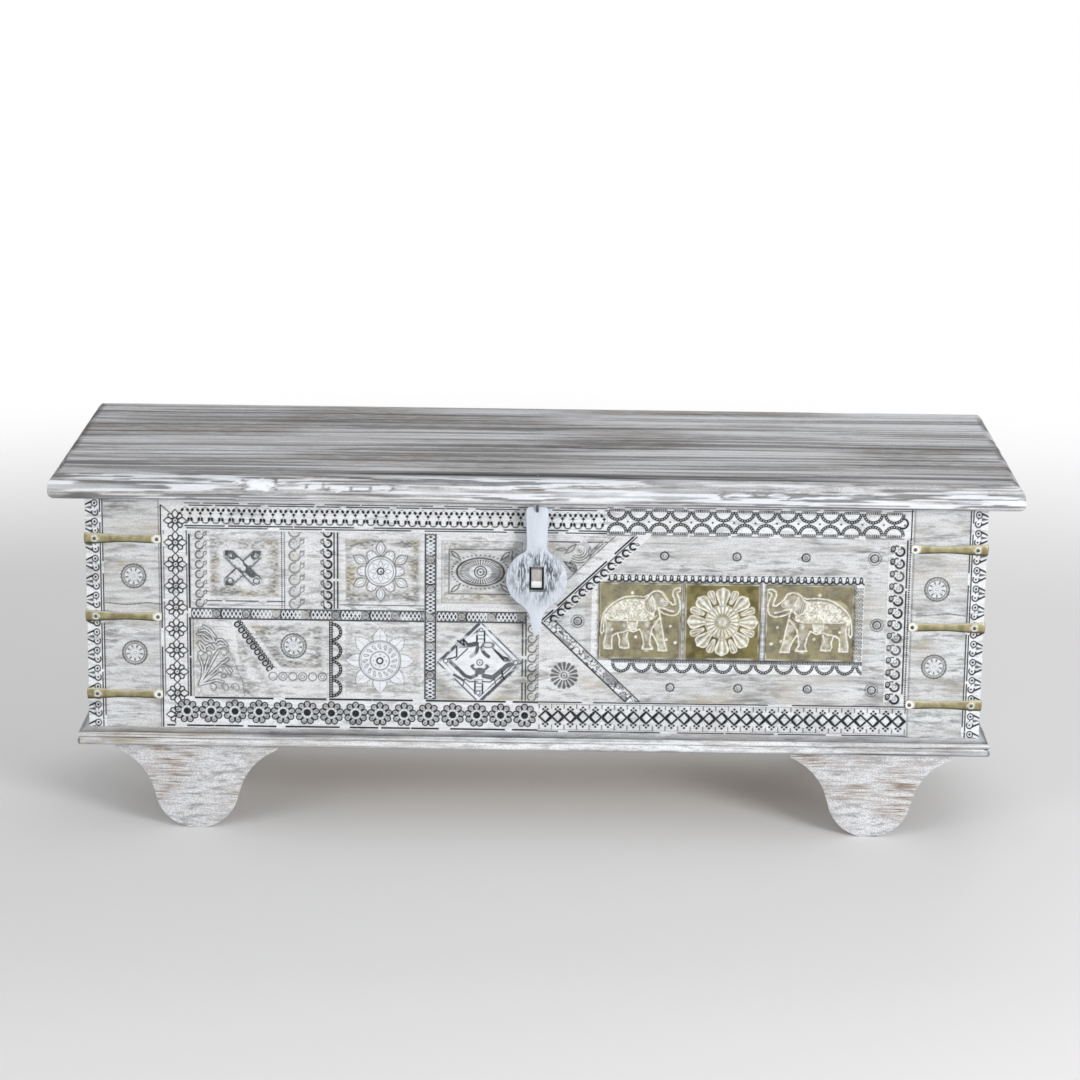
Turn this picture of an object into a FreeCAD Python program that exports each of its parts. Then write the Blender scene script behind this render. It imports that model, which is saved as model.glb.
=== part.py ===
import FreeCAD, Part
import os
from math import cos, radians, sin, sqrt, tan

V = FreeCAD.Vector

# Overall sizes of the closed trunk, in millimetres
lid_length = 1160.0
lid_depth = 420.0
total_height = 450.0
lid_thickness = 31.0
lid_front_overhang = 36.0
lid_side_overhang = 39.0
foot_height = 108.0
plinth_height = 20.0
cut_overrun = 5.0

# Moulded edge of the lid, and its boards and battens
lid_under_round = 9.0
lid_nose_height = 5.0
lid_ovolo_run = 10.5
ovolo_bulge_share = 0.65
lid_board_count = 3
batten_width = 45.0
batten_thickness = 18.0
batten_spacing = 600.0
batten_end_gap = 6.0

# Walls and floor of the chest
facing_thickness = 9.0
front_board_thickness = 14.0
end_board_thickness = 18.0
back_board_thickness = 16.0
bottom_board_thickness = 12.0
bottom_board_count = 3
plank_joint_share = 0.533
cleat_width = 22.0
cleat_top_gap = 25.0

# Plinth rails, with a sloped top and two beads
plinth_projection = 13.0
plinth_rail_width = 60.0
plinth_slope_run = 8.0
plinth_slope_drop = 4.0
plinth_bead_depth = 3.0
upper_bead_share = 0.4

# Bracket feet: a hollow shoulder that runs down a sloped waist into a round lobe with a flat
foot_inset = 130.0
foot_thickness = 30.0
foot_top_width = 198.0
foot_shoulder = 8.0
foot_hollow = 6.0
foot_waist_width = 112.0
foot_waist_height = 58.0
foot_lobe_radius = 51.5
foot_lobe_start_angle = -11.0
foot_flat_width = 20.0

# Carved facing of the front: strips and stiles in lengths, tiles in shares of the field
corner_strip_width = 22.0
stile_width = 67.0
divider_width = 15.0
quatrefoil_edge_share = 0.041
cross_edge_share = 0.167
bells_edge_share = 0.239
upright_edge_share = 0.352
oval_edge_share = 0.489
seam_share = 0.5055
star_edge_share = 0.594
bell_border_share = 0.968
bottom_border_share = 0.137
divider_share = 0.469
chevron_tip_share = 0.481
top_border_share = 0.849
chevron_angle = 44.0
chevron_width = 15.0

# Brass picture plates in their frame, as shares of the field
frame_x_shares = (0.575, 0.938)
frame_z_shares = (0.265, 0.691)
plate_z_shares = (0.326, 0.650)
plate_x_shares = {
    "left_elephant_plate": (0.586, 0.695),
    "flower_plate": (0.700, 0.800),
    "right_elephant_plate": (0.808, 0.925),
}
plate_pocket = 2.5
plate_thickness = 1.2

# Iron cross on its tile
cross_centre_shares = (0.111, 0.692)
cross_arm_length = 62.0
cross_arm_width = 13.0
cross_thickness = 1.5
cross_angle = 45.0

# Studs of the plain field, as shares of the field
stud_shares = [
    (0.671, 0.768), (0.767, 0.768), (0.859, 0.768), (0.950, 0.768),
    (0.557, 0.484), (0.956, 0.484),
    (0.682, 0.203), (0.773, 0.203), (0.866, 0.203), (0.952, 0.203),
]
stud_radius = 4.0
stud_height = 2.2
stud_shank_radius = 1.2
stud_shank_length = 7.0

# Brass corner straps and their nails
strap_shares = (0.144, 0.479, 0.811)
strap_front_reach = 90.5
strap_side_reach = 70.0
strap_thickness = 2.0
strap_corner_width = 14.0
strap_tip_width = 11.0
strap_corner_nail_inset = 11.0
strap_tip_nail_inset = 4.5
nail_head_radius = 2.6
nail_head_height = 1.5
nail_shank_radius = 1.0
nail_shank_length = 12.0

# Butt hinges at the back
hinge_spacing = 660.0
hinge_length = 76.0
knuckle_count = 5
knuckle_radius = 4.5
knuckle_gap = 0.3
barrel_standoff = 0.5
barrel_clearance = 0.35
hinge_pin_radius = 2.4
running_clearance = 0.05
pin_head_radius = 3.4
pin_head_length = 1.5
leaf_thickness = 2.0
leaf_reach = 14.0
leaf_gap = 0.1
leaf_screw_count = 3
screw_head_radius = 3.2
screw_head_height = 1.7
screw_shank_radius = 1.6
screw_shank_length = 18.0
screw_slot_width = 0.8
screw_slot_depth = 0.7

# Hasp that hangs from a wire ring in the lid's overhang
hasp_offset = 1.5
hasp_standoff = 16.5
hasp_thickness = 2.5
hasp_pivot_drop = 4.5
hasp_hole_radius = 2.2
hasp_top_margin = 5.2
hasp_top_round = 6.0
neck_top_half = 13.5
neck_bottom_half = 12.0
neck_length = 44.0
neck_fillet_sag = 1.6
neck_disc_angle = 62.0
disc_radius = 36.5
disc_drop = 84.5
slot_width = 17.6
slot_height = 31.0
tail_disc_angle = 60.0
tail_waist_half = 6.5
tail_waist_drop = 136.0
tail_sag = 2.5
tail_tip_radius = 4.5
tail_drop = 151.5
tail_bend_drop = 118.0
tail_kick = 5.0
ring_wire_radius = 1.5
ring_bend_radius = 5.0
ring_blind_leg = 14.0
ring_clinch = 10.0

# Flat-bar staple that the hasp's slot closes over
staple_gap = 1.5
staple_width = 13.0
staple_height = 24.0
staple_bar = 3.0
staple_corner = 3.0
staple_clinch = 8.0

# Levels and planes worked out from the sizes above
hinge_offset = knuckle_radius + barrel_standoff
overall_depth = lid_depth + hinge_offset + knuckle_radius
lid_front_y = -overall_depth / 2
lid_back_y = lid_front_y + lid_depth
lid_bottom_z = total_height - lid_thickness
front_y = lid_front_y + lid_front_overhang
facing_back_y = front_y + facing_thickness
front_inner_y = facing_back_y + front_board_thickness
back_y = lid_back_y
back_inner_y = back_y - back_board_thickness
half_length = lid_length / 2 - lid_side_overhang
end_inner_x = half_length - end_board_thickness
wall_bottom_z = foot_height + plinth_height
wall_height = lid_bottom_z - wall_bottom_z
floor_z = wall_bottom_z + bottom_board_thickness
plank_joint_z = wall_bottom_z + plank_joint_share * wall_height
axis_y = back_y + hinge_offset
field_half = half_length - corner_strip_width - stile_width
field_width = 2 * field_half


def across(share):
    """X of a share of the carved field's width, from its left edge."""
    return -field_half + share * field_width


def up(share):
    """Z of a share of the wall's height, from the plinth."""
    return wall_bottom_z + share * wall_height


def box(x0, x1, y0, y1, z0, z1):
    return Part.makeBox(x1 - x0, y1 - y0, z1 - z0, V(x0, y0, z0))


def outline_face(pieces):
    """Face inside a closed run of lines (two points) and arcs (three points)."""
    edges = []
    for piece in pieces:
        curve = Part.LineSegment(*piece) if len(piece) == 2 else Part.Arc(*piece)
        edges.append(curve.toShape())
    return Part.Face(Part.Wire(Part.__sortEdges__(edges)))


def turned_back(pieces):
    return [piece[::-1] for piece in reversed(pieces)]


def closed(pieces):
    """Join each piece to the next with a straight line where their ends differ."""
    run = []
    for piece, after in zip(pieces, pieces[1:] + pieces[:1]):
        run.append(piece)
        if not piece[-1].isEqual(after[0], running_clearance * running_clearance):
            run.append([piece[-1], after[0]])
    return run


def front_prism(points, y0, y1):
    """Solid with an outline of (x, z) points, from depth y0 to y1."""
    corners = [V(x, y0, z) for x, z in points]
    return Part.Face(Part.makePolygon(corners + corners[:1])).extrude(V(0, y1 - y0, 0))


def facing(points):
    return front_prism(points, front_y, facing_back_y)


def tile(x0, x1, z0, z1):
    return box(x0, x1, front_y, facing_back_y, z0, z1)


def sag_point(start, end, sag):
    """Middle point of an arc in the XZ plane that leaves its chord by sag, to the left."""
    middle = (start + end) * 0.5
    along = end - start
    return middle + V(-along.z, 0, along.x).normalize() * sag


def save(name, *solids):
    shape = solids[0] if len(solids) == 1 else Part.makeCompound(list(solids))
    shape.exportStep("parts/" + name + ".step")


def moulded_slab(nose, ends_half, back, front_line):
    """Slab whose front and two ends carry the same moulded edge."""
    side_run = nose(lambda inset, z: V(-ends_half, front_line + inset, z))
    top_back = V(-ends_half, back, side_run[-1][-1].z)
    bottom_back = V(-ends_half, back, side_run[0][0].z)
    front_face = outline_face(closed(side_run + [[top_back, bottom_back]]))
    right_run = nose(lambda inset, z: V(ends_half - inset, front_line, z))
    left_run = nose(lambda inset, z: V(inset - ends_half, front_line, z))
    ends_face = outline_face(closed(right_run + turned_back(left_run)))
    lengthwise = front_face.extrude(V(2 * ends_half, 0, 0))
    return lengthwise.common(ends_face.extrude(V(0, back - front_line, 0)))


def lid_nose(place):
    """Lid edge from the underside round the nose and up the ovolo."""
    nose_low = lid_bottom_z + lid_under_round
    nose_high = nose_low + lid_nose_height
    eased = lid_under_round * (1 - cos(radians(45)))
    under = [place(lid_under_round, lid_bottom_z), place(eased, lid_bottom_z + eased), place(0, nose_low)]
    bulge_inset = lid_ovolo_run * (1 - ovolo_bulge_share)
    bulge_z = nose_high + (total_height - nose_high) * ovolo_bulge_share
    ovolo = [place(0, nose_high), place(bulge_inset, bulge_z), place(lid_ovolo_run, total_height)]
    return [under, [under[-1], ovolo[0]], ovolo]


def plinth_nose(place):
    """Plinth edge from the underside over two beads and up the slope."""
    beads_height = plinth_height - plinth_slope_drop
    bead_line = foot_height + beads_height * (1 - upper_bead_share)
    beads_top = foot_height + beads_height
    lower = [place(plinth_bead_depth, foot_height), place(0, (foot_height + bead_line) / 2),
             place(plinth_bead_depth, bead_line)]
    upper = [lower[-1], place(0, (bead_line + beads_top) / 2), place(plinth_bead_depth, beads_top)]
    slope = [upper[-1], place(plinth_bead_depth + plinth_slope_run, wall_bottom_z)]
    return [lower, upper, slope]


def screw(x, y, z, way):
    """Slotted countersunk screw with its head flush at z, driven up (1) or down (-1)."""
    drive = V(0, 0, way)
    head = Part.makeCone(screw_head_radius, screw_shank_radius, screw_head_height, V(x, y, z), drive)
    shank_start = V(x, y, z) + drive * screw_head_height
    shank = Part.makeCylinder(screw_shank_radius, screw_shank_length, shank_start, drive)
    depth_low, depth_high = sorted((z - way * screw_slot_depth, z + way * screw_slot_depth))
    slot = box(x - screw_head_radius, x + screw_head_radius,
               y - screw_slot_width / 2, y + screw_slot_width / 2, depth_low, depth_high)
    return head.fuse(shank), slot


def nail(base, outward, radius, height, shank_radius, shank_length):
    """Round-headed nail: the head stands on base and the shank goes in the other way."""
    upright = [
        [V(0, 0, height), V(radius * sin(radians(45)), 0, height * cos(radians(45))), V(radius, 0, 0)],
        [V(radius, 0, 0), V(shank_radius, 0, 0)],
        [V(shank_radius, 0, 0), V(shank_radius, 0, -shank_length)],
        [V(shank_radius, 0, -shank_length), V(0, 0, -shank_length)],
        [V(0, 0, -shank_length), V(0, 0, height)],
    ]
    turned = outline_face(upright).revolve(V(0, 0, 0), V(0, 0, 1), 360)
    turned.Placement = FreeCAD.Placement(base, FreeCAD.Rotation(V(0, 0, 1), outward))
    return turned


def mirrored(shape):
    return shape.mirror(V(0, 0, 0), V(1, 0, 0))


os.makedirs("parts", exist_ok=True)

# Hasp: where it hangs
pivot_y = front_y - hasp_standoff - hasp_thickness / 2
pivot_z = lid_bottom_z - hasp_pivot_drop
hole_z = pivot_z - ring_bend_radius
disc_z = hole_z - disc_drop

# Lid: one moulded slab sawn into boards
lid_slab = moulded_slab(lid_nose, lid_length / 2, lid_back_y, lid_front_y)
lid_board_width = lid_depth / lid_board_count
lid_boards = []
for number in range(lid_board_count):
    board_front = lid_front_y + number * lid_board_width
    sawn = box(-lid_length / 2, lid_length / 2, board_front, board_front + lid_board_width,
               lid_bottom_z, total_height)
    lid_boards.append(lid_slab.common(sawn))

# Wire ring: a bent staple through the lid, its back leg clinched on top
front_leg_y = pivot_y - ring_bend_radius
back_leg_y = pivot_y + ring_bend_radius
ring_arc = [V(hasp_offset, front_leg_y, pivot_z), V(hasp_offset, pivot_y, hole_z),
            V(hasp_offset, back_leg_y, pivot_z)]
bend = Part.Wire([Part.Arc(*ring_arc).toShape()])
wire_section = Part.Wire([Part.makeCircle(ring_wire_radius, ring_arc[0], V(0, 0, 1))])
ring_bend = bend.makePipeShell([wire_section], True, False)
front_leg_length = lid_bottom_z + ring_blind_leg - pivot_z
back_leg_length = total_height - ring_wire_radius - pivot_z
front_leg = Part.makeCylinder(ring_wire_radius, front_leg_length, ring_arc[0])
back_leg = Part.makeCylinder(ring_wire_radius, back_leg_length, ring_arc[2])
clinch_start = V(hasp_offset, back_leg_y, total_height - ring_wire_radius)
clinch = Part.makeCylinder(ring_wire_radius, ring_clinch, clinch_start, V(0, 1, 0))
knee = Part.makeSphere(ring_wire_radius, clinch_start)
hasp_ring = ring_bend.fuse([front_leg, back_leg, clinch, knee]).removeSplitter()
clinch_groove = box(hasp_offset - ring_wire_radius, hasp_offset + ring_wire_radius, back_leg_y,
                    back_leg_y + ring_clinch, total_height - 2 * ring_wire_radius, total_height)
back_leg_hole = Part.makeCylinder(ring_wire_radius, lid_thickness, V(hasp_offset, back_leg_y, lid_bottom_z))
front_leg_hole = Part.makeCylinder(ring_wire_radius, ring_blind_leg, V(hasp_offset, front_leg_y, lid_bottom_z))
lid_boards[0] = lid_boards[0].cut([clinch_groove, back_leg_hole, front_leg_hole])
save("hasp_ring", hasp_ring)

# Hinges: knuckles shared between the chest's leaf and the lid's leaf
chest_leaf_z = (lid_bottom_z - leaf_gap - leaf_thickness, lid_bottom_z - leaf_gap)
lid_leaf_z = (lid_bottom_z + leaf_gap, lid_bottom_z + leaf_gap + leaf_thickness)
leaf_front_y = back_y - leaf_reach
screw_y = back_y - leaf_reach / 2
knuckle_length = hinge_length / knuckle_count
screw_step = hinge_length / leaf_screw_count
chest_leaves, lid_leaves, hinge_pins = [], [], []
chest_screws, lid_screws = [], []
chest_mortises, lid_mortises = [], []
for hinge_x in (-hinge_spacing / 2, hinge_spacing / 2):
    hinge_left = hinge_x - hinge_length / 2
    hinge_right = hinge_x + hinge_length / 2
    chest_leaf = box(hinge_left, hinge_right, leaf_front_y, axis_y, *chest_leaf_z)
    lid_leaf = box(hinge_left, hinge_right, leaf_front_y, axis_y, *lid_leaf_z)
    chest_knuckles, lid_knuckles, chest_rooms, lid_rooms = [], [], [], []
    for number in range(knuckle_count):
        start = V(hinge_left + number * knuckle_length, axis_y, lid_bottom_z)
        inset = V(knuckle_gap / 2, 0, 0)
        knuckle = Part.makeCylinder(knuckle_radius, knuckle_length - knuckle_gap, start + inset, V(1, 0, 0))
        room = Part.makeCylinder(knuckle_radius + barrel_clearance, knuckle_length, start, V(1, 0, 0))
        if number % 2:
            lid_knuckles.append(knuckle)
            chest_rooms.append(room)
        else:
            chest_knuckles.append(knuckle)
            lid_rooms.append(room)
    bore_start = V(hinge_left, axis_y, lid_bottom_z)
    bore = Part.makeCylinder(hinge_pin_radius + running_clearance, hinge_length, bore_start, V(1, 0, 0))
    screw_places = [hinge_left + (number + 0.5) * screw_step for number in range(leaf_screw_count)]
    down = [screw(x, screw_y, chest_leaf_z[1], -1) for x in screw_places]
    upward = [screw(x, screw_y, lid_leaf_z[0], 1) for x in screw_places]
    chest_leaves.append(chest_leaf.cut(chest_rooms).fuse(chest_knuckles).cut([bore] + [s for s, cut in down]))
    lid_leaves.append(lid_leaf.cut(lid_rooms).fuse(lid_knuckles).cut([bore] + [s for s, cut in upward]))
    chest_screws += [body.cut(slot) for body, slot in down]
    lid_screws += [body.cut(slot) for body, slot in upward]
    chest_mortises.append(box(hinge_left, hinge_right, leaf_front_y, back_y, chest_leaf_z[0], lid_bottom_z))
    lid_mortises.append(box(hinge_left, hinge_right, leaf_front_y, back_y, lid_bottom_z, lid_leaf_z[1]))
    chest_mortises += [body for body, slot in down]
    lid_mortises += [body for body, slot in upward]
    pin = Part.makeCylinder(hinge_pin_radius, hinge_length, bore_start, V(1, 0, 0))
    left_head = Part.makeCylinder(pin_head_radius, pin_head_length, bore_start, V(-1, 0, 0))
    right_head = left_head.mirror(V(hinge_x, 0, 0), V(1, 0, 0))
    hinge_pins.append(pin.fuse([left_head, right_head]).removeSplitter())
lid_boards[-1] = lid_boards[-1].cut(lid_mortises)
save("body_hinge_leaves", *chest_leaves)
save("lid_hinge_leaves", *lid_leaves)
save("body_hinge_screws", *chest_screws)
save("lid_hinge_screws", *lid_screws)
save("hinge_pins", *hinge_pins)
save("lid_front_board", lid_boards[0])
save("lid_middle_board", *lid_boards[1:-1])
save("lid_back_board", lid_boards[-1])

# Battens under the lid, inside the chest
battens = []
for batten_x in (-batten_spacing / 2, batten_spacing / 2):
    battens.append(box(batten_x - batten_width / 2, batten_x + batten_width / 2,
                       front_inner_y + batten_end_gap, back_inner_y - batten_end_gap,
                       lid_bottom_z - batten_thickness, lid_bottom_z))
save("lid_battens", *battens)

# Hasp plate: a flat outline with a slot, its tail bent forward
neck_top_z = hole_z + hasp_top_margin
neck_bottom_z = hole_z - neck_length


def on_disc(angle):
    return V(disc_radius * cos(radians(angle)), 0, disc_z + disc_radius * sin(radians(angle)))


eased_corner = hasp_top_round * (1 - cos(radians(45)))
shoulder = [V(neck_top_half - hasp_top_round, 0, neck_top_z),
            V(neck_top_half - eased_corner, 0, neck_top_z - eased_corner),
            V(neck_top_half, 0, neck_top_z - hasp_top_round)]
neck_foot = V(neck_bottom_half, 0, neck_bottom_z)
disc_start = on_disc(neck_disc_angle)
neck_fillet = [neck_foot, sag_point(neck_foot, disc_start, -neck_fillet_sag), disc_start]
disc_end = on_disc(-tail_disc_angle)
waist = V(tail_waist_half, 0, hole_z - tail_waist_drop)
tail_hollow = [disc_end, sag_point(disc_end, waist, -tail_sag), waist]
tip_z = hole_z - tail_drop + tail_tip_radius
tip_side = V(tail_tip_radius, 0, tip_z)
right_side = [shoulder, [shoulder[-1], neck_foot], neck_fillet, [disc_start, on_disc(0), disc_end],
              tail_hollow, [waist, tip_side]]
left_side = [[V(-p.x, 0, p.z) for p in piece] for piece in right_side]
tip_round = [tip_side, V(0, 0, tip_z - tail_tip_radius), V(-tail_tip_radius, 0, tip_z)]
hasp_face = outline_face(closed(right_side + [tip_round] + turned_back(left_side)))
hasp_face.translate(V(hasp_offset, pivot_y - disc_radius, 0))
hasp_outline = hasp_face.extrude(V(0, 2 * disc_radius, 0))
bend_z = hole_z - tail_bend_drop
tail_z = hole_z - tail_drop
half_sheet = hasp_thickness / 2
sheet_points = [(half_sheet, neck_top_z), (half_sheet, bend_z), (half_sheet - tail_kick, tail_z),
                (-half_sheet - tail_kick, tail_z), (-half_sheet, bend_z), (-half_sheet, neck_top_z)]
sheet_corners = [V(hasp_offset - disc_radius, pivot_y + y, z) for y, z in sheet_points]
sheet_face = Part.Face(Part.makePolygon(sheet_corners + sheet_corners[:1]))
hasp_sheet = sheet_face.extrude(V(2 * disc_radius, 0, 0))
sheet_back = pivot_y + half_sheet + cut_overrun
sheet_front = pivot_y - half_sheet - cut_overrun
slot = box(hasp_offset - slot_width / 2, hasp_offset + slot_width / 2, sheet_front, sheet_back,
           disc_z - slot_height / 2, disc_z + slot_height / 2)
ring_hole = Part.makeCylinder(hasp_hole_radius, sheet_back - sheet_front,
                              V(hasp_offset, sheet_front, hole_z), V(0, 1, 0))
save("hasp_plate", hasp_outline.common(hasp_sheet).cut([slot, ring_hole]))

# Staple on the front: a bent flat bar, driven through and clinched inside
staple_front = front_y - hasp_standoff + staple_gap
staple_low = disc_z - staple_height / 2
staple_high = disc_z + staple_height / 2
clinch_back = front_inner_y + staple_bar
staple_points = [
    (staple_front, staple_low), (front_inner_y, staple_low), (front_inner_y, staple_low - staple_clinch),
    (clinch_back, staple_low - staple_clinch), (clinch_back, staple_low + staple_bar),
    (staple_front + staple_bar, staple_low + staple_bar), (staple_front + staple_bar, staple_high - staple_bar),
    (clinch_back, staple_high - staple_bar), (clinch_back, staple_high + staple_clinch),
    (front_inner_y, staple_high + staple_clinch), (front_inner_y, staple_high), (staple_front, staple_high),
]
staple_left = hasp_offset - staple_width / 2
staple_right = hasp_offset + staple_width / 2
staple_corners = [V(staple_left, y, z) for y, z in staple_points]
staple = Part.Face(Part.makePolygon(staple_corners + staple_corners[:1])).extrude(V(staple_width, 0, 0))
nose_edges = []
for edge in staple.Edges:
    at_nose = all(abs(vertex.Y - staple_front) < running_clearance for vertex in edge.Vertexes)
    if at_nose and edge.BoundBox.XLength > staple_bar:
        nose_edges.append(edge)
save("hasp_staple", staple.makeFillet(staple_corner, nose_edges))
leg_mortises = [
    box(staple_left, staple_right, front_y, front_inner_y, staple_low, staple_low + staple_bar),
    box(staple_left, staple_right, front_y, front_inner_y, staple_high - staple_bar, staple_high),
]

# Brass straps round the front corners, with their nails
strap_back_x = half_length
strap_out_x = half_length + strap_thickness
strap_out_y = front_y - strap_thickness
corner_half = strap_corner_width / 2
tip_half = strap_tip_width / 2
strap_tip_x = half_length - strap_front_reach
strap_tip_y = front_y + strap_side_reach
straps, nails, nail_shanks = [], [], []
for share in strap_shares:
    strap_z = up(share)
    front_points = [(strap_tip_x, strap_z - tip_half), (strap_out_x, strap_z - corner_half),
                    (strap_out_x, strap_z + corner_half), (strap_tip_x, strap_z + tip_half)]
    front_leg = front_prism(front_points, strap_out_y, front_y)
    side_corners = [V(strap_back_x, strap_out_y, strap_z - corner_half),
                    V(strap_back_x, strap_tip_y, strap_z - tip_half),
                    V(strap_back_x, strap_tip_y, strap_z + tip_half),
                    V(strap_back_x, strap_out_y, strap_z + corner_half)]
    side_face = Part.Face(Part.makePolygon(side_corners + side_corners[:1]))
    side_leg = side_face.extrude(V(strap_thickness, 0, 0))
    seats = [
        (V(half_length - strap_corner_nail_inset, strap_out_y, strap_z), V(0, -1, 0)),
        (V(strap_tip_x + strap_tip_nail_inset, strap_out_y, strap_z), V(0, -1, 0)),
        (V(strap_out_x, front_y + strap_corner_nail_inset, strap_z), V(1, 0, 0)),
        (V(strap_out_x, strap_tip_y - strap_tip_nail_inset, strap_z), V(1, 0, 0)),
    ]
    shanks = []
    for base, outward in seats:
        shanks.append(Part.makeCylinder(nail_shank_radius, nail_shank_length, base, outward * -1))
        nails.append(nail(base, outward, nail_head_radius, nail_head_height,
                          nail_shank_radius, nail_shank_length))
    nail_shanks += shanks
    straps.append(front_leg.fuse(side_leg).removeSplitter().cut(shanks))
save("corner_straps", *straps, *[mirrored(strap) for strap in straps])
save("strap_nails", *nails, *[mirrored(nail) for nail in nails])
right_shanks = nail_shanks
left_shanks = [mirrored(shank) for shank in nail_shanks]

# Studs of the plain field
studs, stud_shanks = [], []
for x_share, z_share in stud_shares:
    seat = V(across(x_share), front_y, up(z_share))
    studs.append(nail(seat, V(0, -1, 0), stud_radius, stud_height, stud_shank_radius, stud_shank_length))
    stud_shanks.append(Part.makeCylinder(stud_shank_radius, stud_shank_length, seat, V(0, 1, 0)))
save("panel_studs", *studs)

# Carved facing: corner strips, stiles and borders
field_left = -field_half
field_right = field_half
top_z = lid_bottom_z
low_z = wall_bottom_z
border_low_z = up(bottom_border_share)
border_high_z = up(top_border_share)
strip_x = half_length - corner_strip_width
save("left_corner_strip", tile(-half_length, -strip_x, low_z, top_z).cut(left_shanks))
save("right_corner_strip", tile(strip_x, half_length, low_z, top_z).cut(right_shanks))
save("left_stile", tile(-strip_x, field_left, low_z, top_z).cut(left_shanks))
save("right_stile", tile(field_right, strip_x, low_z, top_z).cut(right_shanks))
seam_x = across(seam_share)
star_x = across(star_edge_share)
quatrefoil_x = across(quatrefoil_edge_share)
bell_border_x = across(bell_border_share)
save("top_star_border", tile(field_left, star_x, border_high_z, top_z))
save("top_arch_border", tile(star_x, field_right, border_high_z, top_z))
save("left_quatrefoil_border", tile(field_left, quatrefoil_x, border_low_z, border_high_z))
save("right_bell_border", tile(bell_border_x, field_right, border_low_z, border_high_z))
save("bottom_daisy_border", tile(field_left, seam_x, low_z, border_low_z))
save("bottom_diamond_border", tile(seam_x, field_right, low_z, border_low_z))

# Carved facing: the tiles of the left half and the dark strips between them
cross_x = across(cross_edge_share)
bells_x = across(bells_edge_share)
upright_x = across(upright_edge_share)
oval_x = upright_x + divider_width
oval_right_x = across(oval_edge_share)
divider_low_z = up(divider_share)
divider_high_z = divider_low_z + divider_width
save("cross_tile", tile(quatrefoil_x, cross_x, divider_high_z, border_high_z))
save("bell_strip", tile(cross_x, bells_x, divider_high_z, border_high_z))
save("flower_tile", tile(bells_x, upright_x, divider_high_z, border_high_z))
save("left_divider", tile(quatrefoil_x, upright_x, divider_low_z, divider_high_z))
save("spray_tile", tile(quatrefoil_x, bells_x - divider_width, border_low_z, divider_low_z))
save("sun_tile", tile(bells_x - divider_width, upright_x, border_low_z, divider_low_z))
save("upright_divider", tile(upright_x, oval_x, border_low_z, border_high_z))
save("oval_tile", tile(oval_x, oval_right_x, divider_high_z, border_high_z))
save("right_divider", tile(oval_x, oval_right_x, divider_low_z, divider_high_z))
save("diamond_tile", tile(oval_x, seam_x, border_low_z, divider_low_z))

# Iron cross, laid on its tile
cross_x_middle = across(cross_centre_shares[0])
cross_z_middle = up(cross_centre_shares[1])
arm = box(-cross_arm_length / 2, cross_arm_length / 2, front_y - cross_thickness, front_y,
          -cross_arm_width / 2, cross_arm_width / 2)
other_arm = arm.copy()
arm.rotate(V(0, 0, 0), V(0, 1, 0), cross_angle)
other_arm.rotate(V(0, 0, 0), V(0, 1, 0), -cross_angle)
iron_cross = arm.fuse(other_arm).removeSplitter()
iron_cross.translate(V(cross_x_middle, 0, cross_z_middle))
save("iron_cross", iron_cross)

# Carved facing: the chevron and the triangles to its left
tip_height = up(chevron_tip_share)
chevron_slope = tan(radians(chevron_angle))
strip_run = chevron_width / sin(radians(chevron_angle))
upper_run = (border_high_z - tip_height) / chevron_slope
lower_run = (tip_height - border_low_z) / chevron_slope
inner_tip_x = seam_x + strip_run
save("spandrel_tile", facing([
    (oval_right_x, divider_low_z), (seam_x, divider_low_z), (seam_x, tip_height),
    (seam_x + upper_run, border_high_z), (oval_right_x, border_high_z)]).cut(leg_mortises))
save("daisy_tile", facing([
    (seam_x, border_low_z), (seam_x + lower_run, border_low_z), (seam_x, tip_height)]))
save("upper_chevron_strip", facing([
    (seam_x, tip_height), (inner_tip_x, tip_height),
    (inner_tip_x + upper_run, border_high_z), (seam_x + upper_run, border_high_z)]))
save("lower_chevron_strip", facing([
    (seam_x, tip_height), (seam_x + lower_run, border_low_z),
    (inner_tip_x + lower_run, border_low_z), (inner_tip_x, tip_height)]))

# Carved facing: the plain field, the picture frame and its brass plates
field = facing([
    (inner_tip_x, tip_height), (inner_tip_x + lower_run, border_low_z), (bell_border_x, border_low_z),
    (bell_border_x, border_high_z), (inner_tip_x + upper_run, border_high_z)])
frame_left, frame_right = [across(share) for share in frame_x_shares]
frame_low, frame_high = [up(share) for share in frame_z_shares]
plate_low, plate_high = [up(share) for share in plate_z_shares]
frame_block = tile(frame_left, frame_right, frame_low, frame_high).common(field)
save("field_panel", field.cut([frame_block] + stud_shanks))
pocket_back = front_y + plate_pocket
pockets = []
for name, shares in plate_x_shares.items():
    plate_left, plate_right = [across(share) for share in shares]
    pocket = box(plate_left, plate_right, front_y, pocket_back, plate_low, plate_high)
    pockets.append(pocket)
    sheet = box(plate_left, plate_right, pocket_back - plate_thickness, pocket_back, plate_low, plate_high)
    save(name, sheet.common(frame_block))
save("elephant_frame", frame_block.cut(pockets))

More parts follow.
